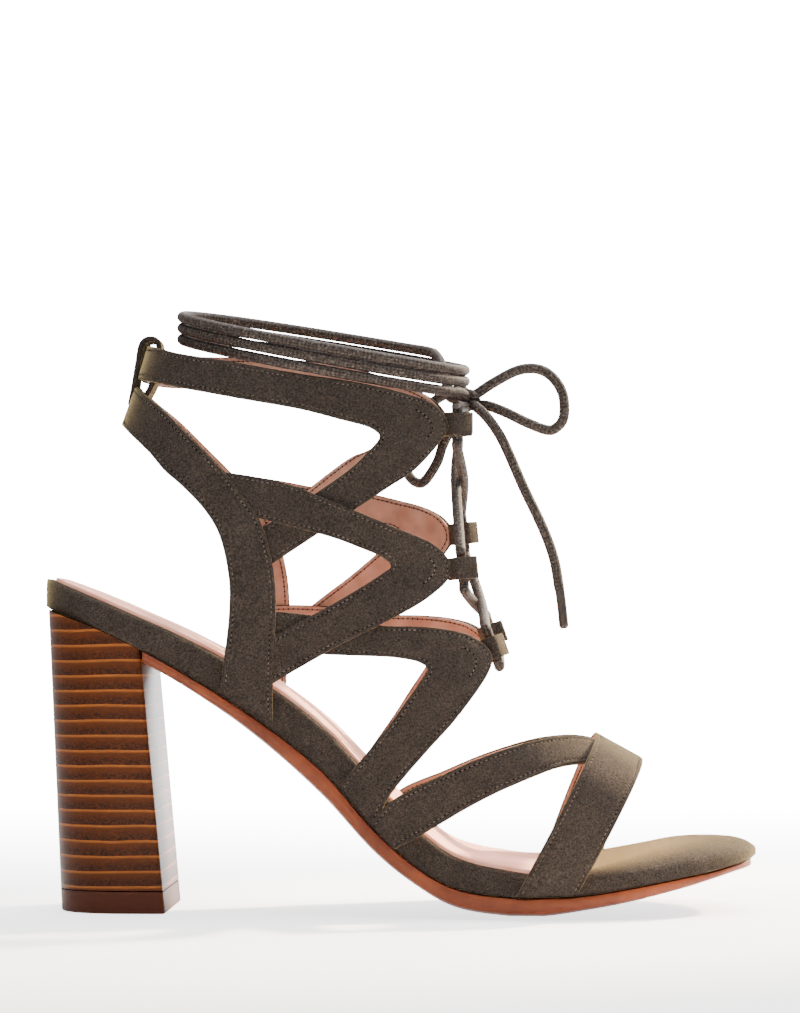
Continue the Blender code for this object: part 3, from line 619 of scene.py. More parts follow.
def toe_band():
    """Rows of the band over the toes, from the lateral base to the medial base."""
    rows = []
    inside = Vector(TOES_INSIDE)
    for k in range(TOE_BAND_STEPS + 1):
        turn = math.pi * k / TOE_BAND_STEPS

        def at(t, turn=turn):
            point = toe_band_point(turn, t)
            low, high = max(turn - TOE_BAND_PROBE, 0.0), min(turn + TOE_BAND_PROBE, math.pi)
            along = toe_band_point(high, t) - toe_band_point(low, t)
            across = toe_band_point(turn, 1.0) - toe_band_point(turn, 0.0)
            normal = along.cross(across).normalized()
            return point, -normal if normal.dot(point - inside) < 0.0 else normal

        height = math.sin(turn) ** (2.0 / TOE_BAND_ROUNDNESS)
        rows.append((at, TOE_BAND_LIFT * limit(TOE_BAND_LIFT_RATE * height)))
    return rows


def straps():
    """Every strap of the upper by name, as its rows."""
    made = {"sling": ring_strap(SLING, False), "top_chevron": ring_strap(TOP_CHEVRON, True)}
    for side, word in ((LATERAL, "lateral"), (MEDIAL, "medial")):
        made["middle_chevron_" + word] = side_strap(MIDDLE_CHEVRON, side)
        made["low_chevron_" + word] = side_strap(LOW_CHEVRON, side)
        made["vamp_strap_" + word] = side_strap(VAMP_STRAP, side)
    made["toe_band"] = toe_band()
    return made


def suede_section(width):
    """Across a strap: distance from its outer edge and height over the lining, outside then inside."""
    first = SEAM_INSET + SEAM_HALF
    edge = [(0.0, 0.0), (0.0, SUEDE - EDGE_ROUND), (EDGE_CUT, SUEDE - EDGE_CUT), (EDGE_ROUND, SUEDE),
            (SEAM_INSET - SEAM_HALF, SUEDE), (SEAM_INSET, SUEDE - SEAM_DEPTH), (first, SUEDE)]
    middle = [(blend(first, width - first, k / (SUEDE_COLUMNS + 1)), SUEDE)
              for k in range(1, SUEDE_COLUMNS + 1)]
    outside = edge + middle + [(width - s, h) for s, h in reversed(edge)]
    return outside + [(width * k / SUEDE_BACK_COLUMNS, 0.0) for k in range(SUEDE_BACK_COLUMNS - 1, 0, -1)]


def lining_section(width):
    """Across a strap: distance from its outer edge and height over the foot, for the lining."""
    inside = [(blend(LINING_INSET, width - LINING_INSET, k / LINING_COLUMNS), 0.0)
              for k in range(LINING_COLUMNS + 1)]
    return inside + [(width - LINING_INSET, LINING), (LINING_INSET, LINING)]


def slack(point):
    """Small unevenness of soft suede at a point, with the creases pressed into it."""
    height = SLACK_HEIGHT * noise.noise(point / SLACK_SIZE)
    for x, z, degrees, length, width, depth in CREASES:
        turn = math.radians(degrees)
        dx, dz = point.x - x, point.z - z
        along = (dx * math.cos(turn) + dz * math.sin(turn)) / length
        across = (dz * math.cos(turn) - dx * math.sin(turn)) / width
        height += depth * (across * across - CREASE_FLOOR) * math.exp(-across * across - along * along)
    return height


def strap_width(at):
    """Width of a strap at one of its rows, measured over its middle."""
    outer, middle, inner = (at(t)[0] for t in (0.0, 0.5, 1.0))
    return (middle - outer).length + (inner - middle).length


def strap_rings(rows, section, base, soft):
    """Rings of points along a strap for one of its layers."""
    rings = []
    for at, lift in rows:
        width = strap_width(at)
        ring = []
        for s, h in section(width):
            point, normal = at(s / width)
            swell = slack(point) if soft and h > 0.5 * SUEDE else 0.0
            ring.append(point + normal * (lift + base + h + swell))
        rings.append(ring)
    return rings


def seam_lines(rows, height, inset=SEAM_INSET):
    """The two lines of stitching along a strap, as points with normals."""
    lines = [[], []]
    for at, lift in rows:
        width = strap_width(at)
        for line, s in zip(lines, (inset, width - inset)):
            point, normal = at(s / width)
            line.append((point + normal * (lift + height), normal))
    return lines


def tip_seam(line, tips, side):
    """The part of a line of stitching on one side that lies near one of its lace loops."""
    return [(point, normal) for point, normal in line
            if point.y * side > 0.0 and any(
                math.hypot(point.x - tip.x, point.z - tip.z) < TIP_SEAM_REACH and point.y * tip.y > 0.0
                for tip in tips)]


def braid(ring, side):
    """Height of the braid's strands, from -1 to 1, at one ring and side of a lace."""
    turn = BRAID_LOBES * math.pi * side / BRAID_SIDES
    along = math.pi * ring * BRAID_STEP / BRAID_REPEAT
    return math.sin(turn + along) * math.sin(turn - along)


def tube(shape, path, radius, relief=0.0, round_end=False):
    """Round cord along a path, with the strands of its braid raised; returns the fine path."""
    fine = resample(path, BRAID_STEP)
    tangents = [(fine[min(i + 1, len(fine) - 1)] - fine[max(i - 1, 0)]).normalized()
                for i in range(len(fine))]
    normal = tangents[0].orthogonal().normalized()
    rings = []
    for i, (point, tangent) in enumerate(zip(fine, tangents)):
        normal = (normal - tangent * normal.dot(tangent)).normalized()
        side = tangent.cross(normal)
        ring = []
        for k in range(BRAID_SIDES):
            turn = 2.0 * math.pi * k / BRAID_SIDES
            reach = radius + (relief * braid(i, k) if relief else 0.0)
            ring.append(point + (normal * math.cos(turn) + side * math.sin(turn)) * reach)
        rings.append(ring)
    if round_end:
        last = rings[-1]
        for share, push in SLEEVE_ROUND:
            rings.append([point + tangent * (push * radius) + (p - point) * share for p in last])
    shape.loft(rings)
    return fine


def resample(path, step):
    """Points a step apart along a path."""
    points = [Vector(p) for p in path]
    total = sum((b - a).length for a, b in zip(points, points[1:]))
    count = max(2, round(total / step))
    fine, target, gone = [points[0]], 1, 0.0
    for a, b in zip(points, points[1:]):
        span = (b - a).length
        while target < count and gone + span >= total * target / count:
            fine.append(a.lerp(b, (total * target / count - gone) / span))
            target += 1
        gone += span
    fine.append(points[-1])
    return fine


def loop_places():
    """Centre, axis, reach and outward direction of each lace loop, by level and side."""
    places = {}
    for tip in LOOP_TIPS:
        row = dict(zip(LOOP_COLUMNS, tip))
        for side in (LATERAL, MEDIAL):
            x = row["x"]
            height = row["z"] + (row["rise"] if side > 0 else 0.0)
            y = side * form_half_width(x, height, side)
            behind = side * form_half_width(x - LOOP_AIM, height, side)
            axis = Vector((-row["lean"], 0.0, 1.0)).normalized()
            reach = Vector((LOOP_AIM, y - behind, 0.0))
            reach = (reach - axis * reach.dot(axis)).normalized()
            reach = Quaternion(axis, math.radians(-side * row["turn"])) @ reach
            out = reach.cross(axis) * -side
            tip_middle = Vector((x, y, height)) + out * (STRAP_WALL / 2)
            centre = tip_middle + reach * (row["clear"] + LOOP_LENGTH / 2)
            places[row["level"], side] = (centre, axis, reach, out)
    return places


def crossing_points(places):
    """Route of the lace down one side's loops, across the foot and up the other side's."""
    def through(level, side, stops):
        centre, axis = places[level, side][:2]
        return [centre + axis * stop for stop in stops]

    def middle(level_a, level_b, spread):
        high, low = places[level_a, LATERAL][0], places[level_b, MEDIAL][0]
        return [(high + low) / 2 + Vector((CROSSING_BULGE + spread, 0.0, 0.0))]

    low_lateral, low_medial = places["low", LATERAL], places["low", MEDIAL]
    bar = (low_lateral[0] + low_medial[0]) / 2 - low_lateral[1] * BAR_DROP
    return ([Vector(LATERAL_LACE_TOP)] + through("top", LATERAL, TOP_STOPS)
            + middle("top", "middle", CROSSING_SPREAD) + through("middle", MEDIAL, LOOP_STOPS)
            + middle("middle", "low", CROSSING_SPREAD) + through("low", LATERAL, LOW_STOPS)
            + [bar] + through("low", MEDIAL, LOW_STOPS[::-1])
            + middle("middle", "low", -CROSSING_SPREAD) + through("middle", LATERAL, LOOP_STOPS[::-1])
            + middle("top", "middle", -CROSSING_SPREAD) + through("top", MEDIAL, TOP_STOPS[::-1])
            + [Vector(MEDIAL_LACE_TOP)])


def turn_points():
    """Turns of the lace round the collar: from the knot, round the ankle strap and back inside."""
    points = list(TURN_LEAD)
    centre = (TURN_BACK + TURN_FRONT) / 2
    reach = (TURN_FRONT - TURN_BACK) / 2
    for k in range(TURN_FIRST, LACE_TURNS * TURN_POINTS - TURN_LEFT_OFF):
        turn = 2.0 * math.pi * k / TURN_POINTS
        along, across = math.cos(turn), -math.sin(turn)
        x = centre + reach * math.copysign(abs(along) ** (2.0 / ROUNDNESS), along)
        y = TURN_HALF_WIDTH * math.copysign(abs(across) ** (2.0 / ROUNDNESS), across)
        z = (TURN_Z_BACK - TURN_SLOPE * (x - TURN_BACK) + LACE_PITCH * k / TURN_POINTS
             + TURN_MEDIAL_RISE * (1.0 + y / TURN_HALF_WIDTH) / 2)
        points.append((x, y, z))
    return points + list(TURN_TAIL)


def thread_template():
    """One stitch: a short thread, thick in the middle and tucked in at both ends."""
    return [[(along, reach * math.cos(turn), height + reach * math.sin(turn)) for turn in THREAD_TURNS]
            for along, reach, height in THREAD_ROWS]


def sew(threads, holes, line, pitch, length, radius):
    """Lay stitches along a line of points with normals, with a dark disc of painted shade for the needle
    hole between them.
    """
    template = thread_template()
    # Each needle hole is a small disc over the groove, coloured near black as painted shade
    hole = [[(NEEDLE_HOLE_SHADE_RADIUS * math.cos(turn), NEEDLE_HOLE_SHADE_RADIUS * math.sin(turn), h) for turn in THREAD_TURNS]
            for h in NEEDLE_HOLE_SHADE_ENDS]
    gone, target = 0.0, SEAM_START + pitch / 2
    for (a, normal_a), (b, normal_b) in zip(line, line[1:]):
        span = (b - a).length
        while span > NO_SPAN and gone + span >= target:
            t = (target - gone) / span
            normal = normal_a.lerp(normal_b, t).normalized()
            along = (b - a).normalized()
            side = normal.cross(along).normalized()
            middle = a.lerp(b, t)
            threads.loft([[middle + along * (u * length) + side * (v * radius) + normal * (w * radius)
                           for u, v, w in ring] for ring in template])
            prick = middle + along * (pitch / 2)
            holes.loft([[prick + along * u + side * v + normal * w for u, v, w in ring] for ring in hole])
            target += pitch
        gone += span


def sole_rings(section, first=None, last=None):
    """Rings across the sole at stations close enough for a smooth edge."""
    table = SOLE_BACK + SOLE + SOLE_TOE
    ends = [row[0] for row in table]
    stations = []
    for x0, x1 in zip(ends, ends[1:]):
        count = max(1, math.ceil((x1 - x0) / SOLE_STEP))
        stations += [blend(x0, x1, k / count) for k in range(count)]
    stations.append(ends[-1])
    if first is not None:
        stations = [first] + [x for x in stations if x > first + SOLE_CLOSEST]
    if last is not None:
        stations = [x for x in stations if x < last - SOLE_CLOSEST] + [last]
    rings = []
    for x in stations:
        size = {name: read(table, k, x) for k, name in enumerate(SOLE_COLUMNS)}
        rings.append([Vector((x, y, z)) for y, z in section(size)])
    return rings


def arc(y, z, ry, rz, start, end, count):
    """Points of a quarter round, in degrees."""
    turns = [math.radians(blend(start, end, k / count)) for k in range(count + 1)]
    return [(y + ry * math.cos(t), z + rz * math.sin(t)) for t in turns]


def bed_section(size):
    """Footbed across: a covered board, round at its upper edges and rolled over at the toe."""
    left, right, top, under = -size["lateral"], size["medial"], size["top"], size["under"]
    width, depth = right - left, top - under
    roll = limit((size["x"] - TOE_ROLL_FROM) / TOE_ROLL_OVER)
    reach = min(blend(BED_ROUND, TOE_ROLL_WIDTH, roll), BED_REACH_SHARE * width)
    drop = min(blend(BED_ROUND, TOE_ROLL_DROP, roll), BED_DROP_SHARE * depth)
    foot = min(BED_FOOT_ROUND, BED_FOOT_SHARE * depth, BED_FOOT_SHARE * width)
    ring = arc(left + foot, under + foot, foot, foot, 270, 180, BED_FOOT_STEPS)
    ring += arc(left + reach, top - drop, reach, drop, 180, 90, BED_ROUND_STEPS)
    ring += [(blend(left + reach, right - reach, k / BED_COLUMNS), top) for k in range(1, BED_COLUMNS)]
    ring += arc(right - reach, top - drop, reach, drop, 90, 0, BED_ROUND_STEPS)
    ring += arc(right - foot, under + foot, foot, foot, 0, -90, BED_FOOT_STEPS)
    return ring


def lap_point(along, t, wall):
    """Point of the lap, from its slant edge along, up by t, on its inside or its outside."""
    x = blend(blend(LAP_FOOT, LAP_TOP, t), LAP_END, along)
    out = LAP_WALL * wall * min(1.0, LAP_SKIVE + LAP_SKIVE_RATE * along)
    under, top = sole("under", x), sole("top", x)
    z = blend(under + LAP_FOOT_RISE, top - BED_ROUND * LAP_TOP_SHARE, t)
    turn = limit((z - top + BED_ROUND) / BED_ROUND)
    inset = BED_ROUND * (1.0 - math.sqrt(1.0 - turn * turn))
    return Vector((x, inset - half_width(x, LATERAL) - out, z))


def lap_rings():
    """Rings of the suede lap on the footbed's lateral edge, down its inside and up its outside."""
    rings = []
    for i in range(LAP_STEPS + 1):
        inside, outside = ([lap_point(i / LAP_STEPS, k / LAP_ROWS, wall) for k in range(LAP_ROWS + 1)]
                           for wall in (0.0, 1.0))
        rings.append(inside[::-1] + outside)
    return rings


def sock_section(size):
    """Sock lining across: a thin sheet with soft edges."""
    left, right = -size["lateral"] + SOCK_INSET, size["medial"] - SOCK_INSET
    low = size["top"] + GAP - SOCK_SINK
    high = size["top"] + GAP + SOCK_WALL
    r = SOCK_ROUND
    ring = [(left, low)] + arc(left + r, high - r, r, r, 180, 90, SOCK_ROUND_STEPS)
    ring += [(blend(left + r, right - r, k / SOCK_COLUMNS), high) for k in range(1, SOCK_COLUMNS)]
    ring += arc(right - r, high - r, r, r, 90, 0, SOCK_ROUND_STEPS) + [(right, low)]
    return ring


def outsole_section(size):
    """Outsole across: a square upper lip, a side band and a round underside."""
    left, right = -size["lateral"] - size["lip"], size["medial"] + size["lip"]
    top, tread = size["under"] - GAP, max(0.0, size["tread"])
    rise = min(OUTSOLE_EDGE_RISE, OUTSOLE_EDGE_SHARE * (top - tread))
    lip = min(OUTSOLE_CORNER, OUTSOLE_CORNER_SHARE * (top - tread))
    ring = arc(right - lip, top - lip, lip, lip, 90, 0, OUTSOLE_CORNER_STEPS)
    for edge, reach, start, end in ((right, right, 0, -90), (left, -left, 270, 180)):
        ring += arc(OUTSOLE_FLAT_SHARE * edge, tread + rise, (1.0 - OUTSOLE_FLAT_SHARE) * reach, rise,
                    start, end, OUTSOLE_ROUND_STEPS)
    ring += arc(left + lip, top - lip, lip, lip, 180, 90, OUTSOLE_CORNER_STEPS)
    return ring


def feed(made, inputs):
    """Set a node's sockets to values, or link them to the sockets of other nodes."""
    for socket, value in inputs.items():
        if isinstance(value, bpy.types.NodeSocket):
            made.id_data.links.new(value, made.inputs[socket])
        else:
            made.inputs[socket].default_value = value


def node(tree, kind, inputs=None, **settings):
    """Add one node: its settings, then its sockets' values or links."""
    made = tree.nodes.new(kind)
    for key, value in settings.items():
        setattr(made, key, value)
    feed(made, inputs or {})
    return made


def finish(name, inputs):
    """A new Principled material: its node tree, its shader and its Object coordinates."""
    mat = bpy.data.materials.new(name)
    mat.use_nodes = True
    shader = mat.node_tree.nodes["Principled BSDF"]
    feed(shader, inputs)
    return mat.node_tree, shader, node(mat.node_tree, "ShaderNodeTexCoord").outputs["Object"]


def suede_finish(name, dark, light):
    """Faux suede: brushed microfibre, dull face on, with a soft pale bloom where it is seen edge on."""
    tree, shader, coords = finish(name, {
        "Roughness": 0.95, "Specular IOR Level": 0.05, "Sheen Weight": 0.9, "Sheen Roughness": 0.3,
        "Sheen Tint": linear("#c9b27c")})
    # Nap of fine fibres, drawn 0.5 mm across so that it shows, over slow shading from brushing
    nap = node(tree, "ShaderNodeTexNoise", {
        "Vector": coords, "Scale": 1.0 / (0.5 * MM), "Detail": 4.0, "Roughness": 0.7})
    brushed = node(tree, "ShaderNodeTexNoise", {"Vector": coords, "Scale": 1.0 / (9.0 * MM), "Detail": 2.0})
    fibre = node(tree, "ShaderNodeMapRange", {
        "Value": nap.outputs["Fac"], "From Min": 0.32, "From Max": 0.68})
    tone = node(tree, "ShaderNodeMapRange", {
        "Value": brushed.outputs["Fac"], "From Min": 0.3, "From Max": 0.7, "To Min": 0.9, "To Max": 1.1})
    base = node(tree, "ShaderNodeMix", {0: fibre.outputs["Result"], 6: dark, 7: light}, data_type="RGBA")
    colour = node(tree, "ShaderNodeHueSaturation", {
        "Color": base.outputs[2], "Value": tone.outputs["Result"]})
    relief = node(tree, "ShaderNodeBump", {
        "Height": nap.outputs["Fac"], "Strength": 0.6, "Distance": 0.25 * MM})
    feed(shader, {"Base Color": colour.outputs["Color"], "Normal": relief.outputs["Normal"]})


def plain_finish(name, dark, light, size, inputs):
    """A smooth finish with a fine grain of its own size, in millimetres, and a little slow shading."""
    tree, shader, coords = finish(name, inputs)
    fine = node(tree, "ShaderNodeTexNoise", {
        "Vector": coords, "Scale": 1.0 / (size * MM), "Detail": 3.0, "Roughness": 0.6})
    # Shading drifts over about fourteen grains
    cloud = node(tree, "ShaderNodeTexNoise", {
        "Vector": coords, "Scale": 1.0 / (14.0 * size * MM), "Detail": 3.0})
    share = node(tree, "ShaderNodeMapRange", {
        "Value": cloud.outputs["Fac"], "From Min": 0.3, "From Max": 0.7})
    base = node(tree, "ShaderNodeMix", {0: share.outputs["Result"], 6: dark, 7: light}, data_type="RGBA")
    relief = node(tree, "ShaderNodeBump", {
        "Height": fine.outputs["Fac"], "Strength": 0.2, "Distance": 0.1 * MM})
    feed(shader, {"Base Color": base.outputs[2], "Normal": relief.outputs["Normal"]})


def stacked_finish(name, dark, light, line):
    """Stacked leather-look heel: grainy brown layers with a pale edge on each, in satin lacquer."""
    tree, shader, coords = finish(name, {"Roughness": 0.38, "Specular IOR Level": 0.12})
    parts = node(tree, "ShaderNodeSeparateXYZ", {"Vector": coords})
    # Layers 4.45 mm thick that waver by about half a millimetre
    waver = node(tree, "ShaderNodeTexNoise", {"Vector": coords, "Scale": 1.0 / (22.0 * MM), "Detail": 1.0})
    bent = node(tree, "ShaderNodeMath", {0: waver.outputs["Fac"], 1: 1.2 * MM, 2: parts.outputs["Z"]},
                operation="MULTIPLY_ADD")
    layer = node(tree, "ShaderNodeMath", {0: bent.outputs[0], 1: 1.0 / (4.45 * MM)}, operation="MULTIPLY")
    share = node(tree, "ShaderNodeMath", {0: layer.outputs[0]}, operation="FRACT")
    edge = node(tree, "ShaderNodeMapRange", {"Value": share.outputs[0], "From Min": 0.78, "From Max": 0.93},
                interpolation_type="SMOOTHSTEP")
    fade = node(tree, "ShaderNodeMapRange", {"Value": share.outputs[0], "From Min": 0.3, "From Max": 0.86})
    # Fibre ends of the pressed board, 0.8 mm long and squeezed flat, drawn coarse enough to show
    flat = node(tree, "ShaderNodeMapping", {"Vector": coords, "Scale": (1.0, 1.0, 1.8)})
    fibre = node(tree, "ShaderNodeTexNoise", {
        "Vector": flat.outputs["Vector"], "Scale": 1.0 / (0.8 * MM), "Detail": 4.0, "Roughness": 0.7})
    speck = node(tree, "ShaderNodeMapRange", {
        "Value": fibre.outputs["Fac"], "From Min": 0.4, "From Max": 0.7})
    body = node(tree, "ShaderNodeMix", {0: fade.outputs["Result"], 6: dark, 7: light}, data_type="RGBA")
    grainy = node(tree, "ShaderNodeMix", {0: speck.outputs["Result"], 6: body.outputs[2], 7: light},
                  data_type="RGBA")
    colour = node(tree, "ShaderNodeMix", {0: edge.outputs["Result"], 6: grainy.outputs[2], 7: line},
                  data_type="RGBA")
    relief = node(tree, "ShaderNodeBump", {
        "Height": fibre.outputs["Fac"], "Strength": 0.2, "Distance": 0.12 * MM})
    feed(shader, {"Base Color": colour.outputs[2], "Normal": relief.outputs["Normal"]})


def braid_finish(name, dark, light, fleck):
    """Waxed cotton lace: a round braid of fine strands, dull, with pale worn flecks and painted shade in
    the hollows of the braid.
    """
    tree, shader, coords = finish(name, {"Roughness": 0.65, "Specular IOR Level": 0.15})
    strand = node(tree, "ShaderNodeAttribute", attribute_name="strand")
    # Flecks of bare cotton 0.7 mm across
    worn = node(tree, "ShaderNodeTexNoise", {
        "Vector": coords, "Scale": 1.0 / (0.7 * MM), "Detail": 3.0, "Roughness": 0.7})
    raised = node(tree, "ShaderNodeMapRange", {
        "Value": strand.outputs["Fac"], "From Min": -0.7, "From Max": 0.6})
    speck = node(tree, "ShaderNodeMapRange", {
        "Value": worn.outputs["Fac"], "From Min": 0.5, "From Max": 0.72})
    # Painted shade: the colour darkens from the strands' tops down into the hollows of the braid
    body = node(tree, "ShaderNodeMix", {0: raised.outputs["Result"], 6: dark, 7: light}, data_type="RGBA")
    colour = node(tree, "ShaderNodeMix", {0: speck.outputs["Result"], 6: body.outputs[2], 7: fleck},
                  data_type="RGBA")
    relief = node(tree, "ShaderNodeBump", {
        "Height": worn.outputs["Fac"], "Strength": 0.35, "Distance": 0.12 * MM})
    feed(shader, {"Base Color": colour.outputs[2], "Normal": relief.outputs["Normal"]})


def paper_finish(name):
    """Matt white paper whose glow grows behind the shoe, stronger to the camera than to the shoe."""
    tree, shader, coords = finish(name, {
        "Roughness": 0.7, "Base Color": linear("#dcdad8"), "Emission Color": linear("#ffffff")})
    back = node(tree, "ShaderNodeSeparateXYZ", {"Vector": coords})
    rays = node(tree, "ShaderNodeLightPath")
    bright = node(tree, "ShaderNodeMapRange", {
        "Value": back.outputs["Y"], "From Min": -0.15, "From Max": 1.0, "To Min": 1.6, "To Max": 20.0},
        interpolation_type="SMOOTHSTEP")
    # Shiny pieces catch up to about a third of it, less towards the heel
    toe_side = node(tree, "ShaderNodeMapRange", {
        "Value": back.outputs["X"], "From Min": -0.2, "From Max": 0.05, "To Max": 0.35})
    gloss = node(tree, "ShaderNodeMath", {
        0: rays.outputs["Is Glossy Ray"], 1: toe_side.outputs["Result"]}, operation="MULTIPLY")
    seen = node(tree, "ShaderNodeMath", {
        0: rays.outputs["Is Camera Ray"], 1: gloss.outputs[0]}, operation="MAXIMUM")
    glow = node(tree, "ShaderNodeMix", {0: seen.outputs[0], 2: 0.37, 3: bright.outputs["Result"]})
    feed(shader, {"Emission Strength": glow.outputs[0]})


def distance(label, default, words):
    """A size in metres that the panel can show."""
    return bpy.props.FloatProperty(name=label, description=words, default=default, min=0.0, precision=4,
                                   subtype="DISTANCE", unit="LENGTH")


def hue(label, default, words):
    """A colour that the panel can show, from its sRGB hex value."""
    return bpy.props.FloatVectorProperty(name=label, description=words, default=linear(default), size=4,
                                         min=0.0, max=1.0, subtype="COLOR")


class SandalSizes(bpy.types.PropertyGroup):
    """Sizes of the stitching and the lace."""

    stitch_pitch: distance("Stitch pitch", 1.5 * MM, "Distance from one stitch to the next")
    stitch_length: distance("Stitch length", 1.0 * MM, "Length of one stitch's thread")
    thread_radius: distance("Thread radius", 0.17 * MM, "Half the thickness of the thread")
    lace_diameter: distance("Lace diameter", LACE_DIAMETER * MM, "Thickness of the round lace")


class SandalColours(bpy.types.PropertyGroup):
    """Colours of the sandal's materials."""

    suede_dark: hue("Suede shade", "#1d1917", "Deep tone of the suede's nap")
    suede_light: hue("Suede light", "#4a423d", "Light tone of the suede's nap")
    lining_dark: hue("Lining shade", "#9c7260", "Deep tone of the strap lining")
    lining_light: hue("Lining light", "#b58c7a", "Light tone of the strap lining")
    sock_dark: hue("Sock shade", "#e59f88", "Deep tone of the sock lining")
    sock_light: hue("Sock light", "#f2bca8", "Light tone of the sock lining")
    outsole_dark: hue("Outsole shade", "#642c14", "Deep tone of the outsole")
    outsole_light: hue("Outsole light", "#834021", "Light tone of the outsole")
    heel_dark: hue("Heel shade", "#240f04", "Deep tone of the heel's layers")
    heel_light: hue("Heel light", "#572a0c", "Light tone of the heel's layers")
    heel_line: hue("Heel lines", "#8f5222", "Pale edges of the heel's layers")
    top_piece: hue("Top piece", "#48200f", "Rubber under the heel")
    lace: hue("Lace", "#443b36", "Strands of the lace")
    # Lace shade: painted shade for the hollows of the braid, and the deep tone of the end sleeve
    lace_deep_tone_and_hollow_shade: hue("Lace shade", "#201a17", "Hollows of the lace's braid")
    lace_fleck: hue("Lace flecks", "#6f665f", "Pale worn flecks of the lace")
    thread: hue("Thread", "#3e352e", "Stitching thread")
    # Needle holes: near-black painted shade on small discs where the needle went through
    needle_hole_shade: hue("Needle holes", "#0b0908", "Shade inside the needle's holes")


def lace_radius(context):
    """Half the lace's thickness, in millimetres."""
    return context.scene.sandal_sizes.lace_diameter / MM / 2


def braided(name, path, radius):
    """A piece of braided lace, with the height of its strands noted for the finish, and its fine path."""
    shape = Shape()
    fine = tube(shape, path, radius, relief=BRAID_RELIEF)
    obj = shape.piece(name, "waxed_lace", "lace_cord", CORD_SHARP)
    heights = [braid(i, k) for i in range(len(fine)) for k in range(BRAID_SIDES)]
    obj.data.attributes.new("strand", "FLOAT", "POINT").data.foreach_set("value", heights)
    return obj, fine


def lay_cord(name, rows, node_name, radius):
    """One length of lace, braided along a smooth curve through its rows, in place of its solid."""
    obj, fine = braided(name, catmull(rows, CORD_STEPS), radius)
    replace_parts(obj, node_name)


def from_knot(rows):
    """Rows of a cord with one more point before them, inside the knot."""
    first = Vector(rows[0])
    return [first + (Vector(KNOT_CENTRE) - first).normalized() * KNOT_SINK] + list(rows)


def lay_looped(name, rows, node_name, radius):
    """One length of lace with both its ends in the knot."""
    lay_cord(name, from_knot(from_knot(rows)[::-1]), node_name, radius)


def pick(obj, kind, test):
    """Select the points, edges or faces of a mesh whose corners all pass a test, and nothing else."""
    bpy.ops.object.mode_set(mode="EDIT")
    bpy.ops.mesh.select_mode(type=kind)
    bpy.ops.mesh.select_all(action="DESELECT")
    bpy.ops.object.mode_set(mode="OBJECT")
    points = obj.data.vertices
    if kind == "VERT":
        for point in points:
            point.select = test([point.co])
    else:
        for item in obj.data.edges if kind == "EDGE" else obj.data.polygons:
            item.select = test([points[k].co for k in item.vertices])
    bpy.ops.object.mode_set(mode="EDIT")


def level(corners):
    """Whether some corners lie on one height."""
    return max(c.z for c in corners) - min(c.z for c in corners) < TOUCH * MM


def box_start(name, low, high):
    """Add a box between two corners, as the start of a piece."""
    bpy.ops.object.select_all(action="DESELECT")
    bpy.ops.mesh.primitive_cube_add(size=1.0, location=(low + high) / 2, scale=high - low)
    bpy.ops.object.transform_apply(location=True, rotation=True, scale=True)
    bpy.context.object.name = name
    return bpy.context.object


def cut_level(z, keep_above):
    """Cut the mesh in edit mode at a height of the shoe and keep one part."""
    bpy.ops.mesh.select_all(action="SELECT")
    bpy.ops.mesh.bisect(plane_co=place((0.0, 0.0, z)), plane_no=(0.0, 0.0, 1.0), use_fill=True,
                        clear_inner=keep_above, clear_outer=not keep_above)


def heel_form(name):
    """Model the heel down to the floor, in edit mode: round at the back, tapered, cut to the footbed."""
    reach = HEEL_START_HEIGHT / sole("under", HEEL_BREAST_TOP)
    back, breast, half = (blend(foot, top, reach) for foot, top in (
        (HEEL_BACK_FOOT, HEEL_BACK_TOP),
        (HEEL_BREAST_FOOT, HEEL_BREAST_TOP),
        (HEEL_HALF_FOOT, HEEL_HALF_TOP)))
    low, high = place((back, -half, 0.0)), place((breast, half, HEEL_START_HEIGHT))
    heel = box_start(name, low, high)
    middle = (low + high) / 2
    pick(heel, "EDGE", lambda ends: not level(ends) and ends[0].x < middle.x)
    bpy.ops.mesh.bevel(offset=HEEL_ROUNDING * MM, segments=HEEL_ROUND_STEPS, profile=HEEL_ROUND_PROFILE,
                       affect="EDGES")
    pick(heel, "EDGE", lambda ends: not level(ends) and all(e.x > high.x - TOUCH * MM for e in ends))
    bpy.ops.mesh.bevel(offset=HEEL_CORNER * MM, segments=HEEL_CORNER_STEPS, affect="EDGES")
    pick(heel, "VERT", lambda ends: ends[0].z < middle.z)
    bpy.ops.transform.resize(
        value=((HEEL_BREAST_FOOT - HEEL_BACK_FOOT) / (breast - back), HEEL_HALF_FOOT / half, 1.0),
        center_override=(middle.x, middle.y, 0.0))
    shift = (HEEL_BREAST_FOOT + HEEL_BACK_FOOT - breast - back) / 2
    bpy.ops.transform.translate(value=(shift * MM, 0.0, 0.0))
    for x in HEEL_CUTS:
        rise = sole("under", x + HEEL_CUT_PROBE) - sole("under", x - HEEL_CUT_PROBE)
        slope = Vector((-rise, 0.0, 2 * HEEL_CUT_PROBE)).normalized()
        bpy.ops.mesh.select_all(action="SELECT")
        bpy.ops.mesh.bisect(plane_co=place((x, 0.0, sole("under", x) - GAP)), plane_no=slope, use_fill=True,
                            clear_outer=True)
    return heel


def heel_done():
    """Leave edit mode and smooth the heel's rounds."""
    bpy.ops.object.mode_set(mode="OBJECT")
    bpy.ops.object.shade_smooth_by_angle(angle=math.radians(HEEL_SHARP))


def pull_loop():
    """Rings of the pull loop at the back, along its path."""
    path = [Vector((x, 0.0, z)) for x, z in catmull(HEEL_LOOP_PATH, HEEL_LOOP_STEPS)]
    rings = []
    for i, point in enumerate(path):
        along = (path[min(i + 1, len(path) - 1)] - path[max(i - 1, 0)]).normalized()
        out = Vector((-along.z, 0.0, along.x)) * (HEEL_LOOP_WALL / 2)
        rings.append([point + out * wall + Vector((0.0, HEEL_LOOP_HALF_WIDTH * across, 0.0))
                      for across, wall in HEEL_LOOP_SECTION])
    return rings


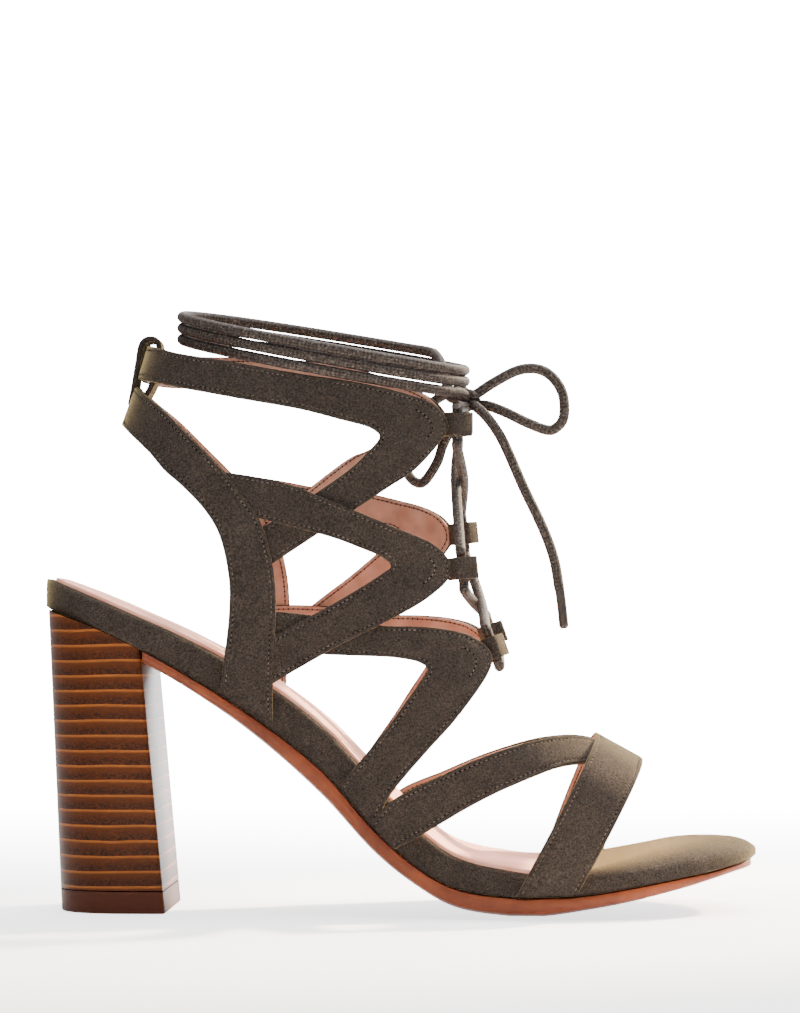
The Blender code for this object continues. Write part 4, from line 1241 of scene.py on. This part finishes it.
# lights of the stage: kind, place and aim in metres, and settings
LIGHTS = {
    "top_box": ("AREA", (0.3, 0.3, 1.4), (0.03, 0.0, 0.06), {"size": 1.6, "energy": 84.0}),
    "front_box": ("AREA", (-0.3, -1.3, 0.45), (0.0, 0.0, 0.08), {"size": 0.8, "energy": 2.6}),
    "toe_spot": ("SPOT", (0.7, 0.5, 0.55), (0.083, 0.0, 0.018), {
        "color": linear("#ffe9c8")[:3], "energy": 2700.0, "spot_size": math.radians(8.0),
        "spot_blend": 1.0, "shadow_soft_size": 0.15}),
}


class SANDAL_OT_finishes(bpy.types.Operator):
    """Make the sandal's materials"""

    bl_idname = "sandal.finishes"
    bl_label = "Finishes"

    def execute(self, context):
        c = context.scene.sandal_colours
        suede_finish("faux_suede", c.suede_dark, c.suede_light)
        # Smooth synthetic lining with a pinhead grain, dull
        plain_finish("strap_lining", c.lining_dark, c.lining_light, 0.5,
                     {"Roughness": 0.6, "Specular IOR Level": 0.25})
        # The same synthetic, paler, as a sock on the footbed
        plain_finish("sock_synthetic", c.sock_dark, c.sock_light, 0.6,
                     {"Roughness": 0.75, "Specular IOR Level": 0.08})
        # Moulded rubber sole with a painted, satin edge
        plain_finish("moulded_sole", c.outsole_dark, c.outsole_light, 0.9,
                     {"Roughness": 0.4, "Specular IOR Level": 0.25})
        # Moulded rubber, fine and satin
        plain_finish("moulded_rubber", c.top_piece, c.top_piece, 0.6,
                     {"Roughness": 0.42, "Specular IOR Level": 0.15})
        # Spun polyester thread, and painted shade for the holes that it goes through, on small near-black
        # discs
        plain_finish("sewing_thread", c.thread, c.lace_fleck, 0.3,
                     {"Roughness": 0.85, "Specular IOR Level": 0.04})
        plain_finish("needle_shade", c.needle_hole_shade, c.needle_hole_shade, 0.3,
                     {"Roughness": 0.95, "Specular IOR Level": 0.0})
        stacked_finish("stacked_layers", c.heel_dark, c.heel_light, c.heel_line)
        braid_finish("waxed_lace", c.lace_deep_tone_and_hollow_shade, c.lace, c.lace_fleck)
        # Clear sleeve shrunk over the end of the lace, glossy
        plain_finish("lace_sleeve", c.lace_deep_tone_and_hollow_shade, c.lace, 0.8, {"Roughness": 0.3, "Specular IOR Level": 0.4})
        return {"FINISHED"}


class SANDAL_OT_stage(bpy.types.Operator):
    """Set the floor, the soft lights and the camera"""

    bl_idname = "sandal.stage"
    bl_label = "Stage"

    def add(self, name, data):
        """Put a light or a camera in the scene."""
        obj = bpy.data.objects.new(name, data)
        bpy.context.scene.collection.objects.link(obj)
        return obj

    def paper(self, context):
        """A sheet that sweeps up behind the shoe."""
        bpy.ops.object.select_all(action="DESELECT")
        bpy.ops.mesh.primitive_plane_add(size=FLOOR_SIZE)
        floor = context.object
        floor.name = "floor"
        pick(floor, "EDGE", lambda ends: all(e.y > 0.0 for e in ends))
        bpy.ops.mesh.extrude_edges_move(TRANSFORM_OT_translate={"value": (0.0, 0.0, FLOOR_WALL)})
        pick(floor, "EDGE", lambda ends: all(e.y > 0.0 and e.z < FLOOR_WALL / 2 for e in ends))
        bpy.ops.mesh.bevel(offset=FLOOR_SWEEP, segments=FLOOR_SWEEP_STEPS, affect="EDGES")
        bpy.ops.object.mode_set(mode="OBJECT")
        bpy.ops.object.shade_smooth()
        paper_finish("pale_floor")
        floor.data.materials.append(bpy.data.materials["pale_floor"])

    def studio(self, context):
        """A white room, brighter to the camera than to the shoe."""
        world = bpy.data.worlds.new("studio")
        world.use_nodes = True
        rays = node(world.node_tree, "ShaderNodeLightPath")
        strength = node(world.node_tree, "ShaderNodeMapRange", {
            "Value": rays.outputs["Is Camera Ray"], "To Min": 0.26, "To Max": 20.0})
        feed(world.node_tree.nodes["Background"], {
            "Color": linear("#ffffff"), "Strength": strength.outputs["Result"]})
        context.scene.world = world

    def execute(self, context):
        self.paper(context)
        self.studio(context)
        for name, (kind, spot, aim, settings) in LIGHTS.items():
            lamp = bpy.data.lights.new(name, kind)
            for key, value in settings.items():
                setattr(lamp, key, value)
            light = self.add(name, lamp)
            light.location = spot
            light.rotation_euler = (Vector(aim) - Vector(spot)).to_track_quat("-Z", "Y").to_euler()
        lens = bpy.data.cameras.new("camera")
        lens.lens = CAMERA_LENS
        lens.sensor_width = CAMERA_SENSOR
        lens.clip_end = CAMERA_REACH
        camera = self.add("camera", lens)
        camera.location = place(CAMERA_PLACE)
        camera.rotation_euler = (math.radians(CAMERA_PITCH), 0.0, math.radians(CAMERA_YAW))
        context.scene.camera = camera
        return {"FINISHED"}


class SANDAL_OT_lace(bpy.types.Operator):
    """Run the lace through its loops and round the collar"""

    bl_idname = "sandal.lace"
    bl_label = "Lace"

    def execute(self, context):
        radius = lace_radius(context)
        crossings = crossing_points(loop_places())
        lay_looped("lace_through_loops", crossings, "lace_crossings", radius)
        lay_looped("lace_round_collar", turn_points(), "lace_turns", radius)
        return {"FINISHED"}


class SANDAL_OT_bow(bpy.types.Operator):
    """Make the bow: its two loops and the free end with its sleeve"""

    bl_idname = "sandal.bow"
    bl_label = "Bow"

    def execute(self, context):
        radius = lace_radius(context)
        lay_looped("lace_bow_loop", BOW_LOOP, "bow_loop", radius)
        lay_looped("lace_hanging_loop", HANGING_LOOP, "hanging_loop", radius)
        sleeve = Shape()
        tube(sleeve, catmull(LACE_END[-1:] + LACE_TIP, CORD_STEPS), SLEEVE_SHARE * radius, round_end=True)
        tip = sleeve.piece("lace_tip_sleeve", "lace_sleeve", "lace_tip", SLEEVE_SHARP)
        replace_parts(tip, "lace_tip")
        rows = from_knot(LACE_END + LACE_TIP[:1])
        lay_cord("lace_free_end", rows, "lace_end", radius)
        return {"FINISHED"}


class SANDAL_OT_knot(bpy.types.Operator):
    """Wrap the lace round the middle of the bow"""

    bl_idname = "sandal.knot"
    bl_label = "Knot"

    def execute(self, context):
        radius = lace_radius(context)
        reach = Vector(KNOT_HALF_SIZE) + Vector(KNOT_SWELL) - Vector((radius, radius, radius))
        path = []
        for k in range(KNOT_POINTS + 1):
            share = k / KNOT_POINTS
            turn = 2.0 * math.pi * KNOT_WRAPS * share
            wrap = Vector((math.cos(turn), 2.0 * share - 1.0, math.sin(turn)))
            path.append(Vector(KNOT_CENTRE) + reach * wrap)
        knot, _ = braided("lace_knot_wraps", path, radius)
        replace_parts(knot, "lace_knot")
        return {"FINISHED"}


class SANDAL_OT_lace_tabs(bpy.types.Operator):
    """Make the folded suede tabs that the lace runs through"""

    bl_idname = "sandal.lace_tabs"
    bl_label = "Lace tabs"

    def execute(self, context):
        size = Vector((LOOP_LENGTH, LOOP_DEPTH, LOOP_HEIGHT)) * (MM / 2)
        tab = box_start("lace_tab", -size, size)
        pick(tab, "FACE", level)
        bpy.ops.mesh.delete(type="FACE")
        pick(tab, "EDGE", lambda ends: not level(ends))
        bpy.ops.mesh.bevel(offset=LOOP_FOLD * MM, segments=LOOP_FOLD_STEPS, affect="EDGES")
        bpy.ops.object.mode_set(mode="OBJECT")
        wall = tab.modifiers.new("wall", "SOLIDIFY")
        wall.thickness = LOOP_WALL * MM
        edge = tab.modifiers.new("edge", "BEVEL")
        edge.width = LOOP_EDGE * MM
        edge.segments = LOOP_EDGE_STEPS
        for modifier in ("wall", "edge"):
            bpy.ops.object.modifier_apply(modifier=modifier)
        bpy.ops.object.shade_smooth_by_angle(angle=math.radians(LOOP_SHARP))
        for (tier, side), (centre, axis, reach, out) in loop_places().items():
            word = "lateral" if side < 0 else "medial"
            copy = bpy.data.objects.new("lace_tab_%s_%s" % (tier, word), tab.data.copy())
            turned = Matrix((reach, out, axis)).transposed().to_4x4()
            copy.data.transform(Matrix.Translation(place(centre)) @ turned)
            if turned.determinant() < 0.0:
                copy.data.flip_normals()
            context.scene.collection.objects.link(copy)
            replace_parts(dress(copy, "faux_suede"), "lace_loop_%s_%s" % (tier, word))
        bpy.data.objects.remove(tab)
        return {"FINISHED"}


class SANDAL_OT_straps(bpy.types.Operator):
    """Make the straps of the upper, with their lining and the pull loop at the back"""

    bl_idname = "sandal.straps"
    bl_label = "Straps"

    def execute(self, context):
        suede, lining = Shape(), Shape()
        for rows in straps().values():
            suede.loft(strap_rings(rows, suede_section, LINING, True))
            lining.loft(strap_rings(rows, lining_section, 0.0, False))
        suede.loft(pull_loop())
        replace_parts(suede.piece("upper_suede", "faux_suede", "upper_suede"), "upper")
        lining.piece("upper_lining", "strap_lining", "sock_lining")
        return {"FINISHED"}


class SANDAL_OT_stitching(bpy.types.Operator):
    """Sew the edges of the straps and the ends of the lace tabs"""

    bl_idname = "sandal.stitching"
    bl_label = "Stitching"

    def execute(self, context):
        sizes = context.scene.sandal_sizes
        stitch = (sizes.stitch_pitch / MM, sizes.stitch_length / MM, sizes.thread_radius / MM)
        tips = [centre - reach * (LOOP_LENGTH / 2) for centre, _, reach, _ in loop_places().values()]
        groove, face = LINING + SUEDE - SEAM_DEPTH, LINING + SUEDE
        lines = []
        for name, rows in straps().items():
            lines += seam_lines(rows, groove)
            lines += [[(p, -n) for p, n in line] for line in seam_lines(rows, 0.0)]
            if "chevron" in name:
                lines += [tip_seam(line, tips, side) for line in seam_lines(rows, face, TIP_SEAM_INSET)
                          for side in (LATERAL, MEDIAL)]
        threads, holes = Shape(), Shape()
        for line in lines:
            sew(threads, holes, line, *stitch)
        threads.piece("strap_stitches", "sewing_thread", "upper_suede", CORD_SHARP)
        holes.piece("needle_hole_shade_discs", "needle_shade", "upper_suede", CORD_SHARP)
        return {"FINISHED"}


class SANDAL_OT_footbed(bpy.types.Operator):
    """Make the suede-covered footbed, with the lap of its cover"""

    bl_idname = "sandal.footbed"
    bl_label = "Footbed"

    def execute(self, context):
        bed = Shape()
        bed.loft(sole_rings(bed_section))
        bed.loft(lap_rings())
        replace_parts(bed.piece("footbed_cover", "faux_suede", "footbed_suede"), "footbed")
        return {"FINISHED"}


class SANDAL_OT_sock(bpy.types.Operator):
    """Lay the sock lining on the footbed"""

    bl_idname = "sandal.sock"
    bl_label = "Sock lining"

    def execute(self, context):
        sock = Shape()
        sock.loft(sole_rings(sock_section, SOLE[2][0], SOCK_END))
        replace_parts(sock.piece("sock_sheet", "sock_synthetic", "sock_lining"), "insole_sock")
        return {"FINISHED"}


class SANDAL_OT_outsole(bpy.types.Operator):
    """Make the outsole"""

    bl_idname = "sandal.outsole"
    bl_label = "Outsole"

    def execute(self, context):
        outsole = Shape()
        outsole.loft(sole_rings(outsole_section, OUTSOLE_START, OUTSOLE_END))
        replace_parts(outsole.piece("outsole_body", "moulded_sole", "outsole"), "outsole")
        return {"FINISHED"}


class SANDAL_OT_heel(bpy.types.Operator):
    """Model the stacked heel and the rubber top piece under it"""

    bl_idname = "sandal.heel"
    bl_label = "Heel"

    def execute(self, context):
        block = heel_form("stacked_heel_block")
        cut_level(HEEL_TOP_PIECE + GAP, True)
        heel_done()
        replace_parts(dress(block, "stacked_layers"), "heel_block")
        tip = heel_form("heel_tip")
        cut_level(HEEL_TOP_PIECE, False)
        pick(tip, "EDGE", lambda ends: all(e.z < TOUCH * MM for e in ends))
        bpy.ops.mesh.bevel(offset=HEEL_FOOT_EDGE * MM, segments=HEEL_CORNER_STEPS, affect="EDGES")
        heel_done()
        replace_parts(dress(tip, "moulded_rubber"), "heel_top_piece")
        return {"FINISHED"}


STEPS = (SANDAL_OT_finishes, SANDAL_OT_stage, SANDAL_OT_lace, SANDAL_OT_bow, SANDAL_OT_knot,
         SANDAL_OT_lace_tabs, SANDAL_OT_straps, SANDAL_OT_stitching, SANDAL_OT_footbed, SANDAL_OT_sock,
         SANDAL_OT_outsole, SANDAL_OT_heel)


class SANDAL_PT_panel(bpy.types.Panel):
    """The sandal's steps in the sidebar"""

    bl_idname = "SANDAL_PT_panel"
    bl_label = "Lace-up sandal"
    bl_space_type = "VIEW_3D"
    bl_region_type = "UI"
    bl_category = "Sandal"

    def draw(self, context):
        for group in (context.scene.sandal_sizes, context.scene.sandal_colours):
            for name in group.__annotations__:
                self.layout.prop(group, name)
        for step in STEPS:
            self.layout.operator(step.bl_idname)


CLASSES = (SandalSizes, SandalColours) + STEPS + (SANDAL_PT_panel,)


def register():
    """Add the classes and the sandal's settings."""
    for cls in CLASSES:
        bpy.utils.register_class(cls)
    bpy.types.Scene.sandal_sizes = bpy.props.PointerProperty(type=SandalSizes)
    bpy.types.Scene.sandal_colours = bpy.props.PointerProperty(type=SandalColours)


def unregister():
    """Take the settings and the classes away again."""
    del bpy.types.Scene.sandal_colours
    del bpy.types.Scene.sandal_sizes
    for cls in reversed(CLASSES):
        bpy.utils.unregister_class(cls)


def main():
    """Dress the sandal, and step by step."""
    register()
    for step in STEPS:
        group, name = step.bl_idname.split(".")
        getattr(getattr(bpy.ops, group), name)()


if __name__ == "__main__":
    main()
